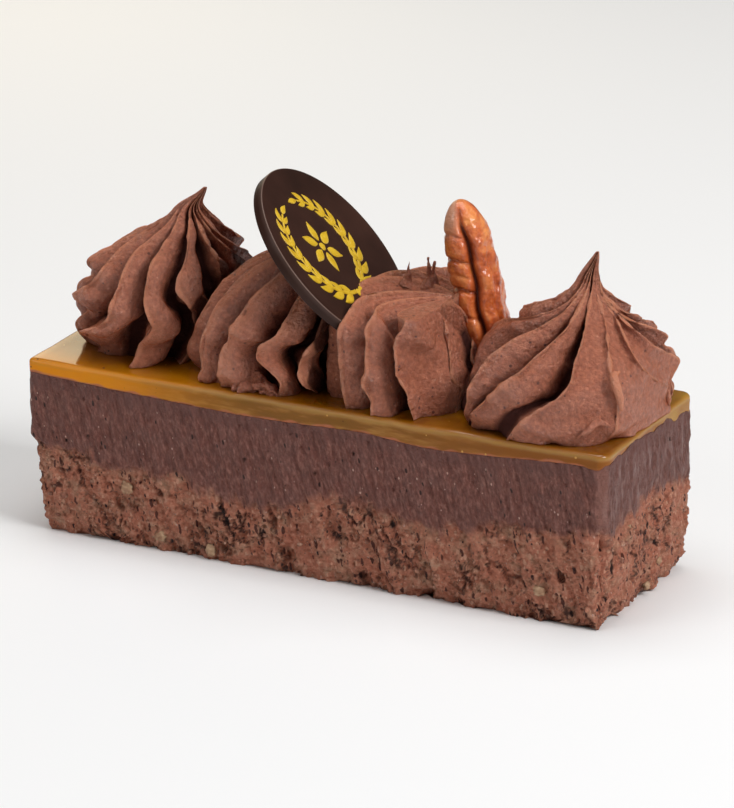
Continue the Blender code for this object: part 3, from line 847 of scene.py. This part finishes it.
# %% One ridge
# One ridge's section as (share of the ridge's width, depth): a crest with a lip, a rounded
# face, a wide dark groove, and a wall that leans out under the next crest.
SECTION = ((0.00, 0.00), (0.05, 0.02), (0.10, 0.07), (0.20, 0.08), (0.32, 0.14), (0.44, 0.28),
           (0.53, 0.52), (0.60, 0.82), (0.70, 1.00), (0.84, 1.00), (0.98, 0.84), (1.04, 0.50),
           (1.04, 0.20), (1.00, 0.00))
# The section of a wide hollow face: a thin crest over a shallow scoop.
SCOOP = ((0.00, 0.00), (0.03, 0.10), (0.07, 0.22), (0.13, 0.34), (0.22, 0.42), (0.34, 0.46),
         (0.48, 0.48), (0.62, 0.50), (0.75, 0.50), (0.86, 0.48), (0.94, 0.40), (0.99, 0.25),
         (1.01, 0.10), (1.00, 0.00))
FIN_DEPTH = 0.42                # a groove's depth as a share of the radius
# Painted shade where a rosette presses on the next:
PRESSED_SHADE = (0.85, 0.85, 0, 0)   # how dark each rosette is where it presses on the next
STEPS = 36                      # columns to a ridge
LEVELS = 160                    # rings from the foot to the tip
BLEND = 22                      # rings over which the grooves' direction is smoothed


def crest_angles(shape, share):
    """Angle of every crest at every height, in radians: smooth curves through the given
    angles, the hidden ridges spread evenly from the last given crest round to the first."""
    seen = [np.array(row, float) for row in shape["crests"]]
    count = shape["hidden"] + 1
    back = [seen[-1] + (seen[0] + 360 - seen[-1]) * k / count for k in range(1, count)]
    rows = seen + back + [seen[0] + 360]
    return np.radians([through(list(zip(HEIGHTS, row)), share) for row in rows])


def waver(share, ridges, size, seed):
    """Slow random drift up each ridge, between -1 and 1, the same for the last as the first."""
    spots = np.stack(np.broadcast_arrays(7.0 * np.arange(ridges + 1)[:, None], share / size,
                                         0.5), -1)
    drift = lumps(spots, 1.0, seed)
    drift[-1] = drift[0]
    return drift


# %% [markdown]
# A rosette's radius is its profile less the grooves' depth.  The whole skin is one array: a
# row for each level, and a fixed number of columns for each ridge.

# %% A rosette
def rosette(name, row):
    """Rings of a rosette.  Each ridge follows SECTION from its crest to the next: the angle
    goes by the share of the ridge's width, and the depth goes into the surface at right angles
    to its profile, so that the ridges stay on a flat top too.  The crests' flares are bells in
    height, and the hem is a wavy widening of the foot that fills its grooves.  The marks say
    how close a point is to a crest, and how deep in a groove or in a pressed side."""
    shape = {**PLAIN, **ROSETTES[name]}
    share = np.linspace(0, 1, LEVELS) ** 0.9
    angles = crest_angles(shape, share)
    ridges = len(angles) - 1
    angles = angles + np.radians(2.6) * waver(share, ridges, 0.13, 40 + row)
    k = np.repeat(np.arange(ridges), STEPS)
    t = np.tile(np.arange(STEPS) / STEPS, ridges) * (len(SECTION) - 1)
    across, groove = (through(list(enumerate(column)), t) for column in zip(*SECTION))
    wide, scoop = (through(list(enumerate(column)), t) for column in zip(*SCOOP))
    hollow = np.array([shape["scoops"].get(crest, 0.0) for crest in k])
    across = np.where(hollow > 0, wide, across)
    groove = np.where(hollow > 0, scoop * hollow, groove ** shape["cut"])
    angle = angles[k] + (angles[k + 1] - angles[k]) * across[:, None]
    own = np.where(across < 0.75, k, k + 1)
    tip_x, tip_y, tall = shape["tip"]
    rise = tall * (share - shape["dip"] * ease(share, 0.85, 1.0))
    radius = shape["radius"] * through(shape["profile"], share)
    slope = np.arctan2(-np.gradient(radius), np.gradient(rise))
    slope = np.convolve(np.pad(slope, BLEND, "edge"), np.hanning(2 * BLEND + 1) / BLEND, "valid")
    out, up = np.cos(slope), np.sin(slope) * ease(share, 0.02, 0.15)
    foot = shape["hem"] * bell(share, 0, 0.05)
    crown = np.where(hollow[:, None] > 0, 1 - ease(share, 0.55, 0.85),
                     1 + shape["crown"] * ease(share, 0.6, 0.85))
    settle = 1 - shape["settle"] * bell(share, 0, 0.25)
    deep = radius * FIN_DEPTH * crown * settle * groove[:, None] / (1 + foot)
    radius = radius * (1 + 0.035 * waver(share, ridges, 0.16, 45 + row)[own]) - deep * out
    radius = radius + foot * (0.6 + 0.9 * np.sin(7 * angle) * np.sin(3 * angle))
    for crest, at, spread, reach in shape["flares"]:
        on_crest = np.where(own % ridges == crest, 1 - groove, 0)[:, None]
        radius = radius + on_crest * reach * bell(share, at, spread)
    lean = share ** shape["lean"]
    bend = shape["bend"] * bell(share, 0.88, 0.07)
    foot_x, foot_y = shape["foot"]
    low, high = (at + slant * rise - foot_x for at, slant in CONTACTS[row:row + 2])
    high = high - shape["shy"] * np.maximum(0, rise - 6)
    wide_x = radius * np.cos(angle) + tip_x * lean + bend
    dx = press(wide_x, low + 0.1, high - 0.1)
    dy = press(radius * np.sin(angle) + tip_y * lean, -FRONT_LIMIT, FRONT_LIMIT)
    z = HEIGHT + rise - deep * up
    rings = np.stack([foot_x + dx, foot_y + dy, z], -1).transpose(1, 0, 2)
    # Painted shade on the pressed side, merged into the grooves' painted shade.
    pressed_shade = PRESSED_SHADE[row] * ease(wide_x - dx, 0.2, 1.2).T
    marks = {"crest": np.tile(1 - groove, (LEVELS, 1)), "groove": np.maximum(groove, pressed_shade)}
    return rings, marks


def outward(rings):
    """Unit normals of a skin's rings, from the cross product of its two directions."""
    around = np.roll(rings, -1, 1) - np.roll(rings, 1, 1)
    along = np.gradient(rings, axis=0)
    normal = np.cross(around, along)
    return normal / np.maximum(np.linalg.norm(normal, axis=-1, keepdims=True), 1e-9)


# %% [markdown]
# Piped cream is silky from afar and finely grained close by.  Thin crests let light through
# and look warmer, so a painted highlight runs along them; grooves and the sides pressed on a
# neighbour get painted shade, dark and a little purple.  The finish reads both from the marks
# that the rosettes carry.

# %% The piped cream's finish
PIPED = ((0.410, 0.128, 0.068), (0.530, 0.170, 0.093), (0.680, 0.255, 0.148))
piped_finish = food("piped cream", PIPED, patch=1300.0, grain=1250.0, relief=1.40, pinholes=0.3,
                    Roughness=0.32, Subsurface_Weight=0.10,
                    Subsurface_Radius=(1.0, 0.4, 0.25), Subsurface_Scale=0.8 * MM)
silk = piped_finish.node_tree
# Light dots: painted glints.
dots(silk, (0.720, 0.330, 0.220), 1500.0, 0.12, 0.34)
dots(silk, (0.200, 0.062, 0.038), 1100.0, 0.12, 0.36)
# Painted highlight along the crests, where thin cream is lit through.
tint(silk, mark(silk, "crest", 0.90, 1.01), (0.800, 0.300, 0.160))
# Painted shade in the grooves and on sides pressed on a neighbour.
tint(silk, mark(silk, "groove", 0.50, 0.95), (0.075, 0.027, 0.022))
# Silky where it faces the eye, dull in the grooves and at grazing angles.
turned_away = add(silk, "LayerWeight").outputs["Facing"]
gloss = calculate(silk, "MULTIPLY", mark(silk, "groove", 0.9, 0.3),
                  stepped(silk, turned_away, 0.85, 0.45, To_Max=0.9))
give(silk, silk.nodes["Principled BSDF"], Specular_IOR_Level=gloss)

# %% [markdown]
# Each rosette's skin gets slow and fine ripples, stronger waves near its foot, and chatter
# marks across the ridges, where the cream stuttered out of the nozzle.  They fade out towards
# the tip.

# %% The piped rosettes
piped = {}
for row, name in enumerate(ROSETTES):
    rings, marks = rosette(name, row)
    # Heights and sizes in mm: slow and fine ripples, waves at the foot, chatter marks.
    ripple = 0.30 * rough(rings, 3.2, 50 + row, 3) + 0.08 * rough(rings, 0.9, 60 + row, 2)
    levels = np.linspace(0, 1, LEVELS)[:, None]
    ripple = ripple + 0.45 * rough(rings, 4.5, 66 + row, 2) * bell(levels, 0, 0.16)
    chatter = (rings + 0.3 * rings[..., [2, 2, 0]]) * [0.35, 0.35, 1.0]
    ripple = ripple + 0.32 * lumps(chatter, 1.9, 72 + row)
    rings = rings + outward(rings) * (ripple * ease(1 - levels, 0.0, 0.35))[..., None]
    if name == "rosette_2":
        rings = behind_disc(rings)
    piped[name] = rings
    piece = skin(name + "_piped", rings, piped_finish, marks)
    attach(piece, "root")
    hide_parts(name)

# %% [markdown]
# ### Torn and dragged bits of cream
# The nozzle left more than ridges: a thin curl and a fold on the last rosette, upright wisps
# on top of the third, and a crumbling smear at the foot of the second.  Each is a tube along
# a curve, roughened where the cream tore.

# %% Wisps, curls and the smear
def tube(curve, radii, flat=1.0, columns=14, torn=0.0, seed=80):
    """Rings of circles round a smooth curve; flat squeezes them along z, torn roughens."""
    knots = np.linspace(0, 1, len(curve))
    t = np.linspace(0, 1, 12 * len(curve))
    line = np.stack([through(list(zip(knots, column)), t) for column in zip(*curve)], -1)
    size = through(list(zip(knots, radii)), t)[:, None, None]
    along = np.gradient(line, axis=0)
    along /= np.linalg.norm(along, axis=1, keepdims=True)
    reference = [0.0, 0.0, 1.0] if np.abs(along[:, 2]).mean() < 0.7 else [0.0, -1.0, 0.0]
    aside = np.cross(along, reference)
    aside /= np.linalg.norm(aside, axis=1, keepdims=True)
    over = np.cross(aside, along)
    angle = np.linspace(0, 2 * np.pi, columns, endpoint=False)[:, None]
    round_way = np.cos(angle) * aside[:, None] * -1 + np.sin(angle) * over[:, None] * flat
    rings = line[:, None] + size * round_way
    return rings + round_way * torn * rough(rings, 1.4, seed, 3)[..., None]


def on_rosette(name, azimuth, height, proud):
    """Outermost point of a rosette's skin near an azimuth in degrees and a height over the
    jelly, moved out sideways by proud."""
    rings = piped[name]
    foot = np.array(ROSETTES[name]["foot"])
    away = rings[..., :2] - foot
    turn = (np.degrees(np.arctan2(away[..., 1], away[..., 0])) - azimuth + 180) % 360 - 180
    off = (0.3 * turn) ** 2 + (rings[..., 2] - HEIGHT - height) ** 2
    off = off - 0.6 * np.linalg.norm(away, axis=-1)
    spot = rings.reshape(-1, 3)[np.argmin(off)]
    way = np.radians(azimuth)
    return spot + proud * np.array([math.cos(way), math.sin(way), 0.0])


# The curl and the fold: azimuths in degrees and heights over the jelly.
HOOK = ((327, 12.2), (322, 12.4), (320, 10.6), (320.5, 8.6), (323.5, 6.4))
FOLD = ((301, 1.6), (306, 3.6), (312, 4.6), (318, 3.6))
WISPS = (((7.6, 4.0, 48.4), (7.9, 4.0, 50.4), (8.1, 4.0, 52.6)),
         ((11.6, 4.0, 48.4), (11.9, 4.0, 51.2), (11.7, 4.0, 53.9)),
         ((12.4, 4.2, 48.4), (12.5, 4.2, 51.0), (12.9, 4.2, 53.3)))
SMEAR = ((-23.4, -12.6, 32.1), (-20.2, -13.3, 32.5), (-16.6, -14.0, 33.0), (-12.8, -14.6, 33.1),
         (-9.6, -15.2, 32.8), (-7.0, -15.2, 32.2))
bits = [tube([on_rosette("rosette_4", *spot, 0.7) for spot in HOOK],
             (0.2, 0.65, 0.8, 0.65, 0.2), torn=0.1),
        tube([on_rosette("rosette_4", *spot, 0.5) for spot in FOLD],
             (0.2, 0.6, 0.7, 0.2), torn=0.2, seed=81)]
bits += [tube(wisp, (1.5, 0.42, 0.05), torn=0.25, seed=82 + k) for k, wisp in enumerate(WISPS)]
bits.append(tube(SMEAR, (0.3, 1.1, 1.8, 2.0, 1.6, 0.5), flat=0.75, columns=60, torn=1.3,
                 seed=90))
# Only the hook is thin enough to be lit through like a crest.
thin = [np.full(rings.shape[:2], float(count == 0)) for count, rings in enumerate(bits)]
torn_bits = skin("cream_torn", bits, piped_finish, {"crest": thin})
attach(torn_bits, "root")

# %% [markdown]
# ## The disc
# A thin moulded disc of dark chocolate leans on the cream.  It is a profile turned once
# round: two flat faces and a rim whose edges are slightly rounded, so that they catch a thin
# line of light, with a painted highlight along the edge.

# %% The disc
DISC_EDGE = 0.25
disc_across = np.cross([0.0, 0.0, 1.0], DISC_NORMAL)
disc_across /= np.linalg.norm(disc_across)
disc_up = np.cross(DISC_NORMAL, disc_across)


def on_disc(across, up, proud):
    """Place of a point given on the disc's face, proud of it by so much."""
    across, up, proud = (np.asarray(a, float)[..., None] for a in (across, up, proud))
    return DISC_FACE_CENTRE + across * disc_across + up * disc_up + proud * DISC_NORMAL


disc_finish = food("dark chocolate", ((0.024, 0.010, 0.0065), (0.038, 0.0155, 0.0105),
                                      (0.050, 0.021, 0.014)), patch=60.0, grain=500.0,
                   relief=0.01, pinholes=0.0, Roughness=0.35, Specular_IOR_Level=0.15)
chocolate = disc_finish.node_tree
# Painted highlight: a thin light line along the rim's edge.
tint(chocolate, mark(chocolate, "edge", 0.2, 1.0), (0.200, 0.130, 0.105))

bend = np.radians(np.linspace(0, 90, 6))
edge_r = DISC_RADIUS - DISC_EDGE + DISC_EDGE * np.sin(bend)
edge_z = -DISC_EDGE + DISC_EDGE * np.cos(bend)
flat_r, flat_z = [0.1, 9.0, 17.0], [0.0, 0.0, 0.0]
profile_r = np.concatenate([flat_r, edge_r, edge_r[::-1], flat_r[::-1]])[::-1, None]
profile_z = np.concatenate([flat_z, edge_z, -DISC_THICKNESS - edge_z[::-1],
                            [-DISC_THICKNESS] * 3])[::-1, None]
round_angle = np.linspace(0, 2 * np.pi, 256, endpoint=False)
disc_rings = on_disc(profile_r * np.cos(round_angle), profile_r * np.sin(round_angle),
                     profile_z + 0 * round_angle)
edge = bell(profile_r - DISC_RADIUS, -0.08, 0.08) * (profile_z > -0.3)
disc = skin("disc_moulded", disc_rings, disc_finish, {"edge": edge + 0 * round_angle})
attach(disc, "root")
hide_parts("chocolate_disc")

# %% [markdown]
# The disc's face carries a small gold ornament: a leafy wreath round a blossom.  Each stroke
# is a low raised line along a curve on the face, closed all round and sunk a little into the
# chocolate.  A leaf or a petal is a stroke that swells, a berry one as wide as long.

# %% The ornament
GILT_PROUD = 0.14                       # height over the face
# A stroke's section: shares of its half width and of its height.
GILT_SECTION = np.array([(1.0, -0.4), (0.92, 0.5), (0.55, 1.0), (-0.55, 1.0), (-0.92, 0.5),
                         (-1.0, -0.4)])
WREATH_MIDDLE = np.array([-2.6, 2.6])
WREATH_RADIUS = 9.6
LEAF_PAIRS = 9
PETALS = 6


def stroke(curve, half_width):
    """Rings of a raised line: section points set off sideways from each point of the curve."""
    along = np.gradient(curve, axis=0)
    along /= np.linalg.norm(along, axis=1, keepdims=True)
    aside = np.stack([-along[:, 1], along[:, 0]], -1)
    width = (half_width + 0.02)[:, None, None] * GILT_SECTION[None, :, :1]
    place = curve[:, None] + aside[:, None] * width
    return on_disc(place[..., 0], place[..., 1], GILT_PROUD * GILT_SECTION[:, 1])


def leaf(start, heading, turn, length, fullness):
    """A swelling stroke that bends by turn: half width = fullness x length x sin(pi s^0.8)."""
    s = np.linspace(0, 1, 20)
    way = heading + turn * s
    steps = np.stack([np.cos(way), np.sin(way)], -1) * length / 20
    return stroke(start + np.cumsum(steps, 0), fullness * length * np.sin(np.pi * s**0.8))


def on_wreath(side, degrees):
    """Point of the wreath's stem and its heading towards the top, for the right (1) or left
    (-1) branch, at an angle above the middle."""
    way = math.radians(degrees)
    spot = WREATH_MIDDLE + WREATH_RADIUS * np.array([side * math.cos(way), math.sin(way)])
    return spot, math.pi / 2 + side * way


def berry(middle, radius):
    """A stroke whose half width follows a circle: radius x sqrt(1 - run^2)."""
    run = np.linspace(-0.98, 0.98, 14)
    curve = middle + radius * np.stack([run, 0 * run], -1)
    return stroke(curve, radius * np.sqrt(1 - run**2))


gilding = []
for side in (-1, 1):
    branch = np.array([on_wreath(side, degrees)[0] for degrees in np.linspace(-82, 66, 70)])
    gilding.append(stroke(branch, np.linspace(0.42, 0.20, 70)))
    for k in range(LEAF_PAIRS):
        spot, way = on_wreath(side, -72 + 15.5 * k)
        length = 4.4 - 0.14 * k
        gilding.append(leaf(spot, way - 0.75 * side, 0.7 * side, length, 0.19))
        gilding.append(leaf(spot, way + 0.75 * side, -0.5 * side, 0.8 * length, 0.19))
    spot, way = on_wreath(side, 66)
    gilding.append(leaf(spot, way, 0.3 * side, 3.0, 0.2))
    gilding.append(berry(on_wreath(side, -86)[0] * [1, 1.06], 0.75))
for k in range(PETALS):
    way = 2 * math.pi * (k + 0.25) / PETALS
    start = WREATH_MIDDLE + 1.0 * np.array([math.cos(way), math.sin(way)])
    gilding.append(leaf(start, way, 0.0, 4.2, 0.24))
gilding.append(berry(WREATH_MIDDLE, 0.8))
gilt_finish = food("gilt", ((0.560, 0.330, 0.010), (0.680, 0.430, 0.018), (0.760, 0.500, 0.035)),
                   patch=700.0, grain=1500.0, relief=0.02, pinholes=0.0, Roughness=0.4)
gilt = skin("disc_gilt", gilding, gilt_finish)
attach(gilt, "root")

# %% [markdown]
# ## The pecan
# Half a glazed pecan: a blunt spindle with a deep main groove and a shallow second one.  The
# wide lobe on the left is crossed by creases, between which it bulges; the narrow ridges on
# the right are knobbly.

# %% The pecan
PECAN_TOP = np.array([17.2, 4.5, 65.0])
PECAN_FOOT = np.array([24.2, 4.5, 34.9])
PECAN_WIDTH, PECAN_DEPTH, PECAN_FLATNESS = 4.6, 4.4, 0.75
PECAN_TURN = math.radians(51)
PECAN_RINGS, PECAN_COLUMNS = 300, 280
# Creases across the left lobe: place along the nut (-1 at the foot, 1 at the top) and depth.
CREASES = ((-0.72, 0.04), (-0.30, 0.07), (0.01, 0.17), (0.18, 0.04), (0.35, 0.14), (0.63, 0.08))
MAIN_GROOVE, SECOND_GROOVE = 0.42, -0.42


def pecan():
    """Radius = girth x (1 - grooves - creases), girth = (1 - |along|^2.9)^0.5, with knobs laid
    on.  The marks are the depth of grooves and creases, and the pale tip."""
    middle = (PECAN_TOP + PECAN_FOOT) / 2
    axis = PECAN_TOP - PECAN_FOOT
    half = np.linalg.norm(axis) / 2
    axis = axis / (2 * half)
    turned = Matrix.Rotation(PECAN_TURN, 3, Vector(axis)) @ Vector((0, -1, 0))
    out = np.array(turned) - axis * np.dot(turned, axis)
    out /= np.linalg.norm(out)
    side = np.cross(out, axis)
    along = np.sin(np.linspace(-np.pi / 2, np.pi / 2, PECAN_RINGS))[:, None] * 0.999
    angle = np.linspace(-np.pi, np.pi, PECAN_COLUMNS, endpoint=False)[None, :]
    girth = (1 - np.abs(along) ** 2.9) ** 0.5
    sway = angle + 0.10 * np.sin(5 * along) + 0.05 * np.sin(13 * along + 1)
    groove = 0.46 * bell(sway, MAIN_GROOVE, 0.17) * ease(along, 1.0, 0.6)
    groove = groove + 0.14 * bell(sway, SECOND_GROOVE, 0.12) * ease(along, 0.7, 0.2)
    lobe = ease(angle, MAIN_GROOVE, MAIN_GROOVE + 0.2) * ease(angle, 2.6, 2.0)
    across_lobe = along - 0.05 * (angle - 1) + 0.02 * np.sin(4 * angle)
    creases, bulge = (lobe * sum(share * depth * bell(across_lobe, at, width)
                                 for at, depth in CREASES)
                      for share, width in ((1.0, 0.026), (0.5, 0.10)))
    size = girth * (1 - groove - creases - bulge)
    across = PECAN_WIDTH * size * np.sin(angle)
    deep = PECAN_DEPTH * size * np.cos(angle)
    deep = np.where(deep < 0, deep * PECAN_FLATNESS, deep)
    rings = (middle + (half * along)[..., None] * axis + across[..., None] * side
             + deep[..., None] * out)
    knobs = 0.24 * rough(rings, 2.6, 70, 4) * ease(np.abs(along), 1.0, 0.8)
    knobs = knobs * (0.6 + 0.7 * ease(angle, MAIN_GROOVE, 0.0))
    rings = rings + knobs[..., None] * (np.sin(angle)[..., None] * side
                                        + np.cos(angle)[..., None] * out)
    pale = ease(along, 0.50, 0.85) * ease(angle, 0.5, 1.0)
    return rings, {"groove": groove / 0.42 + 4 * creases + 0.2 * bulge, "pale": 0.8 * pale}


pecan_finish = food("pecan", ((0.340, 0.050, 0.010), (0.700, 0.150, 0.032),
                              (0.930, 0.330, 0.090)), patch=330.0, grain=1100.0, relief=0.35,
                    pinholes=0.0, Roughness=0.28, Specular_IOR_Level=0.45, Coat_Weight=0.8,
                    Coat_Roughness=0.12)
husk = pecan_finish.node_tree
tint(husk, mark(husk, "pale"), (0.700, 0.360, 0.230))
# Painted shade in the grooves and creases.
tint(husk, mark(husk, "groove", 0.25, 1.1), (0.170, 0.022, 0.005))
pecan_rings, pecan_marks = pecan()
nut = skin("pecan_glazed", pecan_rings[:, ::-1], pecan_finish,
           {key: values[:, ::-1] for key, values in pecan_marks.items()})
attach(nut, "root")
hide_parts("pecan_half")

# %% [markdown]
# ## The studio
# The cake is shown as on a product page: on a pale table that runs on to the horizon.  A
# plain square with a matt white finish is enough, because only its shadows show.

# %% The table
TABLE_HALF = 4.0                        # metres
floor_mesh = bpy.data.meshes.new("table")
floor_mesh.from_pydata([(x * TABLE_HALF, y * TABLE_HALF, 0)
                        for x, y in ((-1, -1), (1, -1), (1, 1), (-1, 1))], [], [(0, 1, 2, 3)])
floor_finish = bpy.data.materials.new("table")
floor_finish.use_nodes = True
give(floor_finish.node_tree, floor_finish.node_tree.nodes["Principled BSDF"],
     Base_Color=(0.9, 0.9, 0.9), Roughness=0.9)
floor_mesh.materials.append(floor_finish)
floor = bpy.data.objects.new("table", floor_mesh)
bpy.context.scene.collection.objects.link(floor)

# %% [markdown]
# Large soft lights stand well away: the key on the right, one above, a fill in front on the
# left, and a small warm card low behind on the left, for the glints there.  A dim white
# surround keeps the grooves from going black.

# %% The lights
AIM = Vector((0, 0, 30)) * MM


def soft_light(name, place, width, power, colour=(1, 1, 1)):
    """A square area light at a place in millimetres, turned to the slice."""
    data = bpy.data.lights.new(name, "AREA")
    data.size = width * MM
    data.energy = power
    data.color = colour
    lamp = bpy.data.objects.new(name, data)
    lamp.location = Vector(place) * MM
    lamp.rotation_euler = (AIM - lamp.location).to_track_quat("-Z", "Y").to_euler()
    bpy.context.scene.collection.objects.link(lamp)
    return lamp


soft_light("key from the right", (760, -120, 650), 420, 6.6)
soft_light("top", (-50, 60, 900), 700, 4.8)
soft_light("fill from the front left", (-520, -680, 520), 420, 1.35)
soft_light("card behind on the left", (-260, 300, 150), 160, 0.12, (1.0, 0.84, 0.55))
world = bpy.data.worlds.new("studio")
world.use_nodes = True
give(world.node_tree, world.node_tree.nodes["Background"], Color=(1, 1, 1), Strength=0.07)
bpy.context.scene.world = world
bpy.context.scene.view_settings.view_transform = "Standard"

# %% [markdown]
# The camera looks down on the slice from the front and a little to the right, from one metre
# away through a long lens, so that far and near edges are nearly the same length.

# %% The camera
YAW, PITCH, ROLL = math.radians(27.25), math.radians(20.3), math.radians(-0.4)
FOCAL_PIXELS, IMAGE_HEIGHT, SENSOR = 5719.0, 808, 36.0
DISTANCE = 1000.0
AIM_ACROSS, AIM_UP = 1.4, 24.9          # what the middle of the picture shows, in mm
back = Vector((math.sin(YAW) * math.cos(PITCH), -math.cos(YAW) * math.cos(PITCH),
               math.sin(PITCH)))
level = Vector((math.cos(YAW), math.sin(YAW), 0))
upright = back.cross(level)
across = math.cos(ROLL) * level + math.sin(ROLL) * upright
upward = -math.sin(ROLL) * level + math.cos(ROLL) * upright
aim = (AIM_ACROSS * across + AIM_UP * upward) * MM
camera_data = bpy.data.cameras.new("camera")
camera_data.lens = FOCAL_PIXELS * SENSOR / IMAGE_HEIGHT
camera_data.sensor_width = SENSOR
camera = bpy.data.objects.new("camera", camera_data)
turn = Matrix((across, upward, back)).transposed().to_4x4()
camera.matrix_world = Matrix.Translation(aim + back * DISTANCE * MM) @ turn
bpy.context.scene.collection.objects.link(camera)
bpy.context.scene.camera = camera
print("camera at", [round(a, 3) for a in camera.location])
